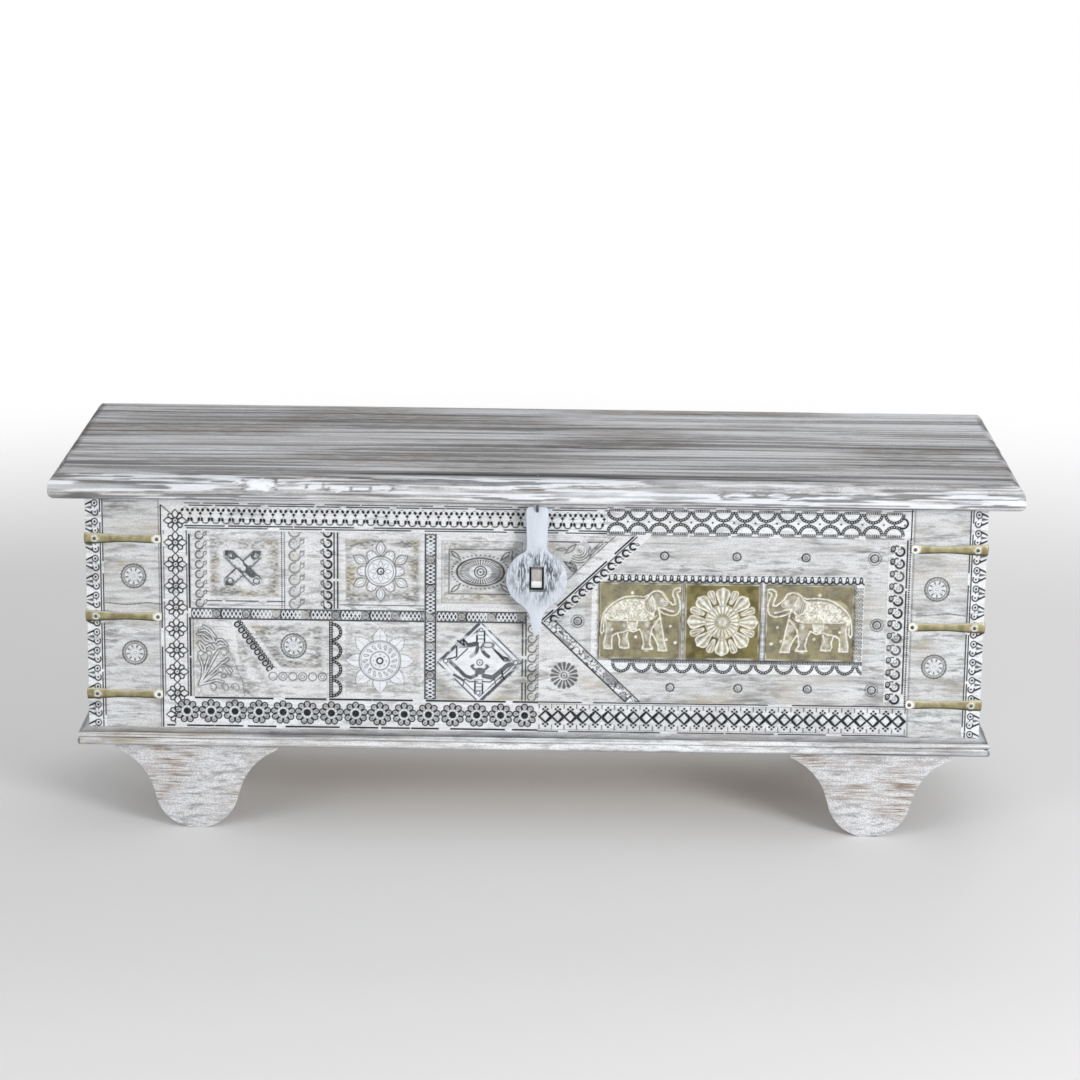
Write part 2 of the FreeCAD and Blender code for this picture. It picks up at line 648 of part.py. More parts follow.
# Box of the chest: boards, floor and the cleats in its corners
front_board = box(-end_inner_x, end_inner_x, facing_back_y, front_inner_y, wall_bottom_z, lid_bottom_z)
save("front_board", front_board.cut(leg_mortises + left_shanks + right_shanks + stud_shanks))
plank_levels = [(wall_bottom_z, plank_joint_z), (plank_joint_z, lid_bottom_z)]
right_end, back_planks = [], []
for low, high in plank_levels:
    end_plank = box(end_inner_x, half_length, facing_back_y, back_y, low, high)
    right_end.append(end_plank.cut(right_shanks))
    back_plank = box(-end_inner_x, end_inner_x, back_inner_y, back_y, low, high)
    back_planks.append(back_plank.cut(chest_mortises))
save("right_end_boards", *right_end)
save("left_end_boards", *[mirrored(plank) for plank in right_end])
save("back_boards", *back_planks)
bottom_board_width = (back_inner_y - front_inner_y) / bottom_board_count
bottom_boards = []
for number in range(bottom_board_count):
    board_front = front_inner_y + number * bottom_board_width
    bottom_boards.append(box(-end_inner_x, end_inner_x, board_front, board_front + bottom_board_width,
                             wall_bottom_z, floor_z))
save("bottom_boards", *bottom_boards)
cleats = []
for x0 in (-end_inner_x, end_inner_x - cleat_width):
    for y0 in (front_inner_y, back_inner_y - cleat_width):
        cleats.append(box(x0, x0 + cleat_width, y0, y0 + cleat_width, floor_z, lid_bottom_z - cleat_top_gap))
save("corner_cleats", *cleats)

# Plinth: one moulded slab sawn into four rails
plinth_half = half_length + plinth_projection
plinth_slab = moulded_slab(plinth_nose, plinth_half, back_y, front_y - plinth_projection)
front_rail_back = front_y + plinth_rail_width
back_rail_front = back_y - plinth_rail_width
side_rail_x = half_length - plinth_rail_width
front_cut = box(-plinth_half, plinth_half, front_y - plinth_projection, front_rail_back,
                foot_height, wall_bottom_z)
right_cut = box(side_rail_x, plinth_half, front_rail_back, back_y, foot_height, wall_bottom_z)
back_cut = box(-side_rail_x, side_rail_x, back_rail_front, back_y, foot_height, wall_bottom_z)
right_rail = plinth_slab.common(right_cut)
save("front_plinth_rail", plinth_slab.common(front_cut))
save("right_plinth_rail", right_rail)
save("left_plinth_rail", mirrored(right_rail))
save("back_plinth_rail", plinth_slab.common(back_cut))

# Feet: the same bracket under each corner
foot_top_half = foot_top_width / 2
flat_half = foot_flat_width / 2
lobe_centre_z = sqrt(foot_lobe_radius ** 2 - flat_half ** 2)


def on_lobe(angle):
    return V(foot_lobe_radius * cos(radians(angle)), 0,
             lobe_centre_z + foot_lobe_radius * sin(radians(angle)))


shoulder_point = V(foot_top_half, 0, foot_height - foot_shoulder)
waist_point = V(foot_waist_width / 2, 0, foot_waist_height)
lobe_start = on_lobe(foot_lobe_start_angle)
foot_side = [
    [V(foot_top_half, 0, foot_height), shoulder_point],
    [shoulder_point, sag_point(shoulder_point, waist_point, -foot_hollow), waist_point],
    [waist_point, lobe_start],
    [lobe_start, on_lobe(-45), V(flat_half, 0, 0)],
]
foot_other_side = [[V(-p.x, 0, p.z) for p in piece] for piece in foot_side]
foot_face = outline_face(closed(foot_side + turned_back(foot_other_side)))
foot = foot_face.extrude(V(0, foot_thickness, 0))
foot_x = half_length - foot_inset
for end, foot_y in (("front", front_y), ("back", back_y - foot_thickness)):
    for side, way in (("left", -1), ("right", 1)):
        placed = foot.copy()
        placed.translate(V(way * foot_x, foot_y, 0))
        save(end + "_" + side + "_foot", placed)
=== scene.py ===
# %% [markdown]
# A carved storage trunk, limewashed white, with brass picture plates, brass corner straps and an iron
# hasp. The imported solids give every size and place. This lesson dresses them: it cuts the carving,
# raises the grain of the lid, beats the brass and lays the worn wash over all of it.
# All lengths of carving are in millimetres, and a piece turns to metres only when its mesh is set.

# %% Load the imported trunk
import math
import bpy
import numpy as np
from mathutils import Matrix, Vector


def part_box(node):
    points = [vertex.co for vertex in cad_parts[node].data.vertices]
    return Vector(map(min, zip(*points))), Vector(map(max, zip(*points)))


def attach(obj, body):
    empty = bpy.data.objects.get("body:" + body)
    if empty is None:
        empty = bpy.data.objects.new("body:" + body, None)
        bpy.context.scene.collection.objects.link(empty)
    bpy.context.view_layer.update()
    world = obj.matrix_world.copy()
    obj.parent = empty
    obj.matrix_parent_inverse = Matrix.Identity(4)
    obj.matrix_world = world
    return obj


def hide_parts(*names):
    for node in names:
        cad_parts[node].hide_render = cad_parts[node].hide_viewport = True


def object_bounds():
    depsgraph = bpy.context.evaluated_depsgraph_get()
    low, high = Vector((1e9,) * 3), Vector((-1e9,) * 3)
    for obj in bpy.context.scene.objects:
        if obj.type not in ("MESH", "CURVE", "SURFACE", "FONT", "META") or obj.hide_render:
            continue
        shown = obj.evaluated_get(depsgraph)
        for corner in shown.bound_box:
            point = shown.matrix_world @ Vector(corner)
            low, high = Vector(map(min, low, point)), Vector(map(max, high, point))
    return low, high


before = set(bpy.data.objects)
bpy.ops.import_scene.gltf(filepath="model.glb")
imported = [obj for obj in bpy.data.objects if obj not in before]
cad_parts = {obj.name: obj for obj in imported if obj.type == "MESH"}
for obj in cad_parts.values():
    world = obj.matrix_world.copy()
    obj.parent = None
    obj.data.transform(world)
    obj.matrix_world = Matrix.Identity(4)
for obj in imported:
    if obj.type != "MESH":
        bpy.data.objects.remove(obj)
cad_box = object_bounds()
print("trunk box", [round(v, 4) for v in cad_box[0]], [round(v, 4) for v in cad_box[1]])

# %% [markdown]
# The picture was taken with a long lens from the height of a standing person, a little to the right of
# the middle. A camera can be set by eye, but here it was worked out from the corners of the trunk, so
# the lens, the place and the three turns are plain numbers.

# %% Set the camera
camera_place = Vector((0.0303, -4.0650, 1.3399))
camera_yaw = -0.00654
camera_pitch = 0.24477
camera_roll = 0.01229
camera_lens = 111.34
sensor_width = 36.0

forward = Vector((math.sin(camera_yaw) * math.cos(camera_pitch),
                  math.cos(camera_yaw) * math.cos(camera_pitch), -math.sin(camera_pitch)))
level_right = Vector((math.cos(camera_yaw), -math.sin(camera_yaw), 0))
level_up = level_right.cross(forward)
camera_right = level_right * math.cos(camera_roll) + level_up * math.sin(camera_roll)
camera_up = level_up * math.cos(camera_roll) - level_right * math.sin(camera_roll)
bpy.ops.object.select_all(action="DESELECT")
bpy.ops.object.camera_add(location=camera_place)
camera = bpy.context.object
camera.data.lens = camera_lens
camera.data.sensor_width = sensor_width
camera.rotation_euler = Matrix((camera_right, camera_up, -forward)).transposed().to_euler()
bpy.context.scene.camera = camera
print("camera", camera.name, "lens", camera.data.lens)

# %% [markdown]
# Every finish here is made of nodes, read in the object's own coordinates. A small helper class keeps
# each recipe short: it adds one node at a time and wires it to what came before. Numbers that hold all
# over a surface go straight on the shader's sockets.

# %% Helper for mixing finishes


def tone(red, green, blue):
    """Colour of a paint swatch, 0 to 255, as the renderer's linear colour."""
    swatch = [channel / 255 for channel in (red, green, blue)]
    return tuple(s / 12.92 if s <= 0.04045 else ((s + 0.055) / 1.055) ** 2.4 for s in swatch) + (1.0,)


class Finish:
    """A material whose nodes are added one at a time."""

    def __init__(self, name, roughness, metallic=0.0):
        self.material = bpy.data.materials.new(name)
        self.material.use_nodes = True
        self.tree = self.material.node_tree
        self.shader = self.tree.nodes["Principled BSDF"]
        self.place = self.add("TexCoord", {}, "Object")
        self.feed(self.shader, {"Roughness": roughness, "Metallic": metallic})

    def feed(self, node, inputs):
        """Set each input of a node, or wire it where it is given another node's output."""
        for socket, value in inputs.items():
            if isinstance(value, bpy.types.NodeSocket):
                self.tree.links.new(value, node.inputs[socket])
            else:
                node.inputs[socket].default_value = value

    def add(self, kind, inputs, output, **settings):
        """Add a node of a kind, with its settings and inputs, and give one of its outputs."""
        node = self.tree.nodes.new("ShaderNode" + kind)
        for setting, value in settings.items():
            setattr(node, setting, value)
        self.feed(node, inputs)
        return node.outputs[output]

    def noise(self, size, stretch=(1, 1, 1), detail=3.0, roughness=0.55, warp=0.0):
        """Cloudy pattern with spots of about size millimetres, drawn out along an axis by stretch."""
        scale = [1000 / (size * s) for s in stretch]
        place = self.add("Mapping", {"Vector": self.place, "Scale": scale}, "Vector")
        inputs = {"Vector": place, "Scale": 1.0, "Detail": detail, "Roughness": roughness,
                  "Distortion": warp}
        return self.add("TexNoise", inputs, "Fac")

    def band(self, value, low, high, start=0.0, stop=1.0):
        """Value spread so that low gives start and high gives stop, smooth between."""
        inputs = {"Value": value, "From Min": low, "From Max": high, "To Min": start, "To Max": stop}
        return self.add("MapRange", inputs, "Result", interpolation_type="SMOOTHSTEP")

    def calc(self, operation, first, second):
        """Two values put together by an operation, kept between 0 and 1."""
        return self.add("Math", {0: first, 1: second}, "Value", operation=operation, use_clamp=True)

    def mix(self, share, first, second):
        """First colour with a share of the second over it."""
        return self.add("MixRGB", {"Fac": share, "Color1": first, "Color2": second}, "Color")

    def carved(self, name):
        """Amount that the carving left on the mesh, such as how dark a cut is."""
        return self.add("Attribute", {}, "Fac", attribute_name=name)

    def rough(self, height, depth):
        """Bump of the surface, depth in millimetres."""
        bump = self.add("Bump", {"Height": height, "Distance": depth / 1000}, "Normal")
        self.feed(self.shader, {"Normal": bump})

    def done(self, colour):
        """Set the colour and give the finished material."""
        self.feed(self.shader, {"Base Color": colour})
        return self.material


print("finish helper ready")

# %% [markdown]
# The trunk stands on a pale studio floor that melts into white. The floor is a round sheet whose rim
# turns clear, so no horizon shows. The world is white to the eye and to gloss, and dimmer as a light,
# which keeps pale surfaces from burning out.

# %% Lay the floor and light the room
floor_radius = 2.6
floor_clear_start = 0.45
floor_shade = 0.88
floor_sides = 96
paper_roughness = 0.9
paper_gloss = 0.1
world_light = 0.46


def lay_floor():
    """Round sheet of pale paper that turns clear towards its rim."""
    bpy.ops.object.select_all(action="DESELECT")
    bpy.ops.mesh.primitive_circle_add(vertices=floor_sides, radius=floor_radius, fill_type="NGON")
    floor = bpy.context.object
    floor.name = "studio_floor"
    paper = Finish("studio_paper", paper_roughness)
    far = paper.add("VectorMath", {0: paper.place}, "Value", operation="LENGTH")
    clear = paper.band(far, floor_radius, floor_radius * floor_clear_start)
    paper.feed(paper.shader, {"Specular IOR Level": paper_gloss, "Alpha": clear})
    floor.data.materials.append(paper.done((floor_shade, floor_shade, floor_shade, 1)))


def light_world():
    """White world that is dimmer as a light than as a background."""
    world = bpy.context.scene.world or bpy.data.worlds.new("studio")
    bpy.context.scene.world = world
    world.use_nodes = True
    nodes = world.node_tree.nodes
    links = world.node_tree.links
    background = nodes["Background"]
    background.inputs["Color"].default_value = (1, 1, 1, 1)
    path = nodes.new("ShaderNodeLightPath")
    seen = path.outputs["Is Camera Ray"]
    for kind in ("Is Glossy Ray", "Is Transmission Ray"):
        either = nodes.new("ShaderNodeMath")
        either.operation = "MAXIMUM"
        links.new(seen, either.inputs[0])
        links.new(path.outputs[kind], either.inputs[1])
        seen = either.outputs["Value"]
    strength = nodes.new("ShaderNodeMapRange")
    strength.inputs["To Min"].default_value = world_light
    strength.inputs["To Max"].default_value = 1.0
    links.new(seen, strength.inputs["Value"])
    links.new(strength.outputs["Result"], background.inputs["Strength"])


def hang_lamp(name, place, aim, size, watts):
    """Square lamp of a size in metres, turned to a point."""
    bpy.ops.object.select_all(action="DESELECT")
    bpy.ops.object.light_add(type="AREA", location=place)
    lamp = bpy.context.object
    lamp.name = name
    lamp.data.size = size
    lamp.data.energy = watts
    lamp.rotation_euler = (Vector(aim) - Vector(place)).to_track_quat("-Z", "Y").to_euler()


bpy.context.scene.view_settings.view_transform = "Standard"
lay_floor()
light_world()
trunk_middle = (0, 0, 0.25)
lamps = {
    "key_lamp": ((2.3, -2.9, 1.25), 1.2, 84),
    "fill_lamp": ((-2.4, -2.6, 1.3), 2.0, 30),
    "back_lamp": ((0.5, 2.6, 2.2), 1.8, 22),
}
for name, (place, size, watts) in lamps.items():
    hang_lamp(name, place, trunk_middle, size, watts)
print("floor radius", floor_radius, "world light", world_light)

# %% [markdown]
# Limewash is thin white paint brushed over brown wood and rubbed back. It stays whole on flat ground,
# breaks up along the grain and leaves the brown bare in patches. The carver's dark wax stays in the
# cuts. The wood's streaks run along one axis, so the recipe takes the direction of the grain.

# %% Mix the limewash
old_wood = tone(132, 116, 104)
pale_wood = tone(178, 166, 152)
lime_white = tone(241, 243, 246)
lime_grey = tone(214, 217, 221)
thin_white = tone(232, 234, 237)
plain_white = tone(226, 229, 232)
plain_grey = tone(198, 200, 202)
thin_grey = tone(206, 208, 210)
smudge_grey = tone(126, 125, 123)
dark_wax_and_shade = tone(34, 39, 44)
grey_stain = tone(150, 149, 146)
olive_stain = tone(167, 157, 136)
dusty_stain = tone(150, 142, 136)
cool_white_and_highlight = tone(240, 245, 252)
board_white = tone(228, 228, 231)
board_grey = tone(197, 197, 200)
wash_roughness = 0.8
wash_gloss = 0.12
wash_bump = 0.35
grain_size = 2.2
patch_size = 44
stroke_size = 5.0
speckle_size = 1.5
patch_stretch = 2.2


def limewash(name, along, bare=0.42, white=lime_white, grey=lime_grey, streak=26.0, smudge=0.5,
             brushed=5.0, browned=olive_stain, lined=0.0):
    """White wash over wood whose grain runs along an axis: bare says how much wood shows, smudge how much
    grey, and lined how strong the lines of the grain are."""
    finish = Finish(name, wash_roughness)
    finish.feed(finish.shader, {"Specular IOR Level": wash_gloss})
    stretch = [streak if axis == along else 1 for axis in "xyz"]
    level = [brushed if axis == along else 1 for axis in "xyz"]
    drawn_out = [patch_stretch if axis == along else 1 for axis in "xyz"]
    grain = finish.noise(grain_size, stretch, detail=4, roughness=0.65)
    patches = finish.noise(patch_size, drawn_out, detail=4, roughness=0.6, warp=0.4)
    strokes = finish.noise(stroke_size, level, detail=5, roughness=0.7, warp=0.3)
    speckle = finish.noise(speckle_size, detail=2, roughness=0.7)
    wood = finish.mix(finish.band(grain, 0.35, 0.65), old_wood, pale_wood)
    wash = finish.mix(finish.band(speckle, 0.36, 0.64), grey, white)
    lines = finish.calc("MULTIPLY", finish.band(grain, 0.52, 0.60), lined)
    wash = finish.mix(lines, wash, smudge_grey)
    worn = finish.band(patches, 0.64, 0.40, 0.25, 1.0)
    rubbed = finish.calc("MULTIPLY", finish.band(strokes, 0.45, 0.66), worn)
    wash = finish.mix(finish.calc("MULTIPLY", rubbed, smudge), wash, smudge_grey)
    thin = finish.calc("MULTIPLY", finish.band(patches, 0.42, 0.68), finish.band(grain, 0.62, 0.40))
    wash = finish.mix(finish.calc("MULTIPLY", thin, bare), wash, wood)
    stain = finish.calc("MULTIPLY", finish.carved("patina"), finish.band(strokes, 0.34, 0.58, 0.35, 1.0))
    stain_tone = finish.mix(finish.band(patches, 0.46, 0.60), grey_stain, browned)
    colour = finish.mix(stain, wash, stain_tone)
    # The bright mark is whiter wash; on the plinth's sloped top it is a painted highlight.
    colour = finish.mix(finish.carved("bright"), colour, cool_white_and_highlight)
    # The dark mark is wax, stains and dark grain, and also painted shade: behind the staple, in the plinth's
    # quirks and along the lid's left end.
    wax = finish.calc("MULTIPLY", finish.carved("dark"), finish.band(speckle, 0.25, 0.45, 0.75, 1.0))
    colour = finish.mix(wax, colour, dark_wax_and_shade)
    raised = finish.calc("ADD", finish.calc("MULTIPLY", grain, 0.6), finish.calc("MULTIPLY", speckle, 0.4))
    finish.rough(raised, wash_bump)
    return finish.done(colour)


carved_wash = limewash("carved_limewash", "x", bare=0.2, smudge=0.55)
tile_wash = limewash("tile_limewash", "x", bare=0.12, white=thin_white, grey=thin_grey, smudge=0.75,
                     brushed=4.0)
plain_wash = limewash("plain_limewash", "x", bare=0.35, white=plain_white, grey=plain_grey, smudge=0.85,
                      lined=0.12)
side_wash = limewash("side_limewash", "y", bare=0.40, white=thin_white, grey=thin_grey, smudge=0.7)
plinth_wash = limewash("plinth_limewash", "x", bare=0.75, smudge=0.6)
lid_wash = limewash("lid_limewash", "x", bare=0.4, white=board_white, grey=board_grey, streak=60,
                    smudge=0.5, browned=dusty_stain, lined=0.25)
print("limewash recipes", [m.name for m in bpy.data.materials if "limewash" in m.name])

# %% [markdown]
# Most of the trunk is planks: lid boards, rails, stiles and carved blocks. One helper makes them all.
# A grid is added at its final count of lines, its outer lines are folded over the edge along a
# moulding's profile, and the face is lowered by a relief. Corners mitre by themselves, because of two
# profiles the deeper one wins. Filling the open rim closes the back. A bevelled box could take the
# mouldings, but not the carving, and a displaced box would lose its crisp arris.

# %% Helper for folded planks
ways = {
    "front": ((1, 0, 0), (0, 0, 1), (0, -1, 0)),
    "top": ((1, 0, 0), (0, 1, 0), (0, 0, 1)),
    "left": ((0, -1, 0), (0, 0, 1), (-1, 0, 0)),
    "right": ((0, 1, 0), (0, 0, 1), (1, 0, 0)),
    "back": ((-1, 0, 0), (0, 0, 1), (0, 1, 0)),
}
merge_gap = 1e-6
smooth_angle = math.radians(40)
wrap_share = 0.65


def eased(radius, thickness, steps=3):
    """Edge profile of a plank: insets and drops from the face over a small arris to the back."""
    turn = np.linspace(0, math.pi / 2, steps + 1)
    return np.append(radius * (1 - np.sin(turn)), 0), np.append(radius * (1 - np.cos(turn)), thickness)


class Lines:
    """Lines of a plank in one direction, with the folded ones over both edges."""

    def __init__(self, low, high, step, low_edge, high_edge, extra=()):
        self.low, self.high = low, high
        self.low_edge, self.high_edge = low_edge, high_edge
        start, stop = low + low_edge[0][0], high - high_edge[0][0]
        count = max(2, int(round((stop - start) / step)) + 1)
        inner = np.union1d(np.linspace(start, stop, count), extra)
        low_run = np.cumsum(np.hypot(np.diff(low_edge[0]), np.diff(low_edge[1])))
        high_run = np.cumsum(np.hypot(np.diff(high_edge[0]), np.diff(high_edge[1])))
        self.place = np.concatenate([low + low_edge[0][:0:-1], inner, high - high_edge[0][1:]])
        self.flat = np.concatenate([start - low_run[::-1], inner, stop + high_run])
        self.drop = np.concatenate([low_edge[1][:0:-1], np.zeros(len(inner)), high_edge[1][1:]])
        self.side = np.concatenate([-np.ones(len(low_run)), np.zeros(len(inner)), np.ones(len(high_run))])
        self.on_face = (self.side == 0) & (self.place > start) & (self.place < stop)

    def tucked(self, others):
        """Places of these lines at each of the other lines, drawn in where those lie deeper."""
        place = np.repeat(self.place[:, None], len(others), axis=1)
        deeper = others[None, :] > self.drop[:, None]
        low_limit = self.low + np.interp(others, self.low_edge[1], self.low_edge[0])
        high_limit = self.high - np.interp(others, self.high_edge[1], self.high_edge[0])
        low_side = deeper & (self.side < 0)[:, None]
        high_side = deeper & (self.side > 0)[:, None]
        place = np.where(low_side, np.maximum(place, low_limit[None, :]), place)
        return np.where(high_side, np.minimum(place, high_limit[None, :]), place)


def lattice(name, places, marks=None):
    """Closed mesh of a grid whose points are moved to places, with marks such as stains on them."""
    bpy.ops.object.select_all(action="DESELECT")
    columns, rows = places.shape[:2]
    bpy.ops.mesh.primitive_grid_add(x_subdivisions=columns - 1, y_subdivisions=rows - 1, size=2,
                                    calc_uvs=False)
    piece = bpy.context.object
    piece.name = name
    mesh = piece.data
    start = np.empty(len(mesh.vertices) * 3, np.float32)
    mesh.vertices.foreach_get("co", start)
    start = start.reshape(-1, 3)
    column = np.rint((start[:, 0] + 1) / 2 * (columns - 1)).astype(int)
    row = np.rint((start[:, 1] + 1) / 2 * (rows - 1)).astype(int)
    mesh.vertices.foreach_set("co", (places[column, row] / 1000).astype(np.float32).ravel())
    for mark, amount in (marks or {}).items():
        layer = mesh.attributes.new(mark, "FLOAT", "POINT")
        layer.data.foreach_set("value", held(amount)[column, row].astype(np.float32))
    close_rims()
    return piece


def open_mesh(piece):
    """Go into edit mode with one piece and all of its mesh selected."""
    bpy.ops.object.select_all(action="DESELECT")
    bpy.context.view_layer.objects.active = piece
    piece.select_set(True)
    bpy.ops.object.mode_set(mode="EDIT")
    bpy.ops.mesh.select_all(action="SELECT")


def close_rims():
    """Merge the folded corners of the active mesh, fill its open rims and smooth its round parts."""
    bpy.ops.object.mode_set(mode="EDIT")
    bpy.ops.mesh.select_all(action="SELECT")
    bpy.ops.mesh.remove_doubles(threshold=merge_gap)
    bpy.ops.mesh.fill_holes(sides=0)
    bpy.ops.mesh.select_all(action="SELECT")
    bpy.ops.mesh.normals_make_consistent(inside=False)
    bpy.ops.object.mode_set(mode="OBJECT")
    bpy.ops.object.shade_smooth_by_angle(angle=smooth_angle)


def plank(name, way, across, upright, face, relief=None, wrap=False):
    """Closed plank of two sets of lines, with its face at a distance from the origin."""
    u = across.tucked(upright.drop)
    v = upright.tucked(across.drop).T
    drop = np.maximum(across.drop[:, None], upright.drop[None, :])
    marks = {}
    if relief:
        flat_u, flat_v = np.meshgrid(across.flat, upright.flat, indexing="ij")
        cut = relief(flat_u, flat_v)
        shown = across.on_face[:, None] & upright.on_face[None, :]
        if wrap:
            shown = (across.side == 0)[:, None] | (upright.side == 0)[None, :]
            shown = shown & (drop < drop.max() * wrap_share)
        drop = drop + np.where(shown, cut.total(), 0)
        kept = np.ones_like(drop)
        kept[[0, -1], :] = 0
        kept[:, [0, -1]] = 0
        marks = {"dark": cut.dark * kept, "patina": cut.patina * kept, "bright": cut.bright * kept}
    axes = np.array(ways[way], float)
    places = u[..., None] * axes[0] + v[..., None] * axes[1] + (face - drop)[..., None] * axes[2]
    return lattice(name, places, marks)


def dress(piece, body, slot, finish, *nodes):
    """Give a piece its finish and its body, and hide the solids that it stands for. The slot is not used."""
    piece.data.materials.clear()
    piece.data.materials.append(finish)
    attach(piece, body)
    if nodes:
        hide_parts(*nodes)
    print(piece.name, "faces", len(piece.data.polygons))
    return piece


def corners(node):
    """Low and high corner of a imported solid, in millimetres."""
    low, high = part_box(node)
    return np.array(low) * 1000, np.array(high) * 1000


print("plank helper ready, faces it can look", sorted(ways))

# %% [markdown]
# A carving is two heights and three stains over a face. The ground may be sunk below the face and
# lifted again where a motif stands, and the gouge then cuts lines into it. Where it cuts, dark wax
# stays. Distances to lines, rings and petals are plain formulas, so a cut of any shape is one call.

# %% Helper for carving
cut_depth = 0.9
cut_edge = 0.55


class Carving:
    """Heights and stains of a carved face, over its places x and z in millimetres."""

    def __init__(self, x, z):
        self.x, self.z = x, z
        self.ground = np.zeros_like(x)
        self.depth = np.zeros_like(x)
        self.dark = np.zeros_like(x)
        self.patina = np.zeros_like(x)
        self.bright = np.zeros_like(x)

    def cut(self, share, deep=cut_depth, dark=1.0):
        """Cut by a share of a depth, and leave dark wax in the cut."""
        self.depth = np.maximum(self.depth, share * deep)
        self.dark = np.maximum(self.dark, share * dark)

    def line(self, distance, width, deep=cut_depth, dark=1.0):
        """Cut a line of a width where a signed distance is nought."""
        self.cut(line(distance, width), deep, dark)

    def darken(self, share):
        """Leave dark wax where there is less; the same call also paints shade behind the staple and in the
        plinth's quirks.
        """
        self.dark = np.maximum(self.dark, share)

    def stain(self, share):
        """Leave a stain where there is less."""
        self.patina = np.maximum(self.patina, share)

    def whiten(self, share):
        """Leave white wash where there is less."""
        self.bright = np.maximum(self.bright, share)

    def noise(self, long, tall, seed):
        """Smooth random heights over the face, with cells of a length and a height."""
        return soft_noise(self.x, self.z, long, tall, seed)

    def sink(self, share, deep):
        """Sink the ground by a share of a depth."""
        self.ground = np.maximum(self.ground, share * deep)

    def lift(self, share, high):
        """Raise the ground where a motif stands, and clear the cuts and stains there."""
        self.ground = np.maximum(self.ground - share * high, 0)
        self.depth = self.depth * (1 - share)
        self.dark = self.dark * (1 - share)
        self.patina = self.patina * (1 - share)

    def total(self):
        """Depth of the carved face below the plain one."""
        return self.ground + self.depth


def held(value):
    """Value kept between 0 and 1."""
    return np.clip(value, 0, 1)


def groove(distance, width, edge=cut_edge):
    """How far a gouge of a width has cut, 0 to 1, at a distance from its middle line."""
    return np.clip(0.5 + (width / 2 - distance) / edge, 0, 1)


def line(distance, width):
    """Cut of a width where a signed distance is nought: the outline of a shape."""
    return groove(np.abs(distance), width)


def to_line(x, z, start, end):
    """Distance to a straight cut."""
    run_x, run_z = end[0] - start[0], end[1] - start[1]
    share = ((x - start[0]) * run_x + (z - start[1]) * run_z) / (run_x ** 2 + run_z ** 2)
    share = held(share)
    return np.hypot(x - start[0] - share * run_x, z - start[1] - share * run_z)


def to_path(x, z, points):
    """Distance to a bent cut through points."""
    return np.min([to_line(x, z, a, b) for a, b in zip(points, points[1:])], axis=0)


def turned(x, z, degrees):
    """Coordinates along and across a direction."""
    c, s = math.cos(math.radians(degrees)), math.sin(math.radians(degrees))
    return x * c + z * s, z * c - x * s


def fanned(x, z, count, first=90.0):
    """Coordinates along and across the nearest of count rays, the first at an angle."""
    angle = np.arctan2(z, x) - math.radians(first)
    step = 2 * math.pi / count
    off = angle - np.rint(angle / step) * step
    far = np.hypot(x, z)
    return far * np.cos(off), far * np.sin(off)


def almond(along, across, near, far, half):
    """Signed distance, negative inside, of a pointed petal between near and far."""
    share = held((along - near) / (far - near))
    return np.maximum(np.abs(across) - half * np.sin(math.pi * share),
                      np.maximum(near - along, along - far))


def drop_petal(along, across, near, far, near_half, far_half):
    """Signed distance of a petal with round ends that widens from near to far."""
    share = held((along - near) / (far - near))
    centre = near + share * (far - near)
    return np.hypot(along - centre, across) - (near_half + share * (far_half - near_half))


def repeated(place, first, pitch, count):
    """Number of the nearest of a row of motifs, and the place measured from its middle."""
    number = np.clip(np.rint((place - first) / pitch), 0, count - 1)
    return number, place - first - number * pitch


def by_hand(number, amount, turn=0.0):
    """Small slip of the carver's hand, different for each motif."""
    return amount * np.sin(number * 12.9898 + turn * 4.1)


def open_ring(x, z, radius, width, towards, gap):
    """Cut along a ring that is left open towards a direction."""
    off = np.arctan2(z, x) - np.radians(towards)
    off = np.abs(np.arctan2(np.sin(off), np.cos(off)))
    return line(np.hypot(x, z) - radius, width) * held((off - math.radians(gap)) * 6)


def dashes(along, across, width, pitch, share=0.8):
    """Cut along a line that is broken into uneven dashes."""
    number = np.rint(along / pitch)
    off = along - (number + 0.12 * np.sin(2.4 * number)) * pitch
    return line(across, width) * held((share * pitch / 2 - np.abs(off)) * 3)


def dots(along, across, size, pitch):
    """Row of round pricks."""
    off = along - np.rint(along / pitch) * pitch
    return groove(np.hypot(off, across), size)


def inside(distance, edge=cut_edge):
    """Share, 0 to 1, of being inside a signed distance."""
    return held(0.5 - distance / edge)


def in_box(x, z, x0, x1, z0, z1):
    """Signed distance of an upright rectangle."""
    return np.maximum(np.maximum(x0 - x, x - x1), np.maximum(z0 - z, z - z1))


print("carving helper ready, cut depth", cut_depth)

# %% [markdown]
# The lid is three boards of rough old wood. Its grain stands up in lengthwise ridges, with dark dust in
# the furrows, and the wash is whitest on the moulded front edge. The ridges are real relief, from a
# value noise drawn out along the board, and they run on over the moulding. Bump alone would leave the
# edge of the lid straight in profile.

# %% Saw, mould and weather the lid
lid_low, lid_high = corners("lid_front_board")
lid_top = lid_high[2]
lid_front = lid_low[1]
ovolo_run = 10.5
ovolo_drop = 17.0
ovolo_bulge = (3.675, 5.95)
nose_height = 5.0
under_round = 9.0
lid_thickness = lid_high[2] - lid_low[2]
board_arris = 1.2
ridge_depth = 1.1


def soft_noise(u, v, cell_u, cell_v, seed):
    """Smooth random heights from 0 to 1, with cells of a length and a width."""
    rng = np.random.default_rng(seed)
    table = rng.random((257, 257))
    a, b = u / cell_u + 1000.3, v / cell_v + 1000.7
    i, j = np.floor(a).astype(int), np.floor(b).astype(int)
    a, b = a - i, b - j
    a, b = a * a * (3 - 2 * a), b * b * (3 - 2 * b)
    i, j = i % 256, j % 256
    low = table[i, j] * (1 - a) + table[i + 1, j] * a
    high = table[i, j + 1] * (1 - a) + table[i + 1, j + 1] * a
    return low * (1 - b) + high * b


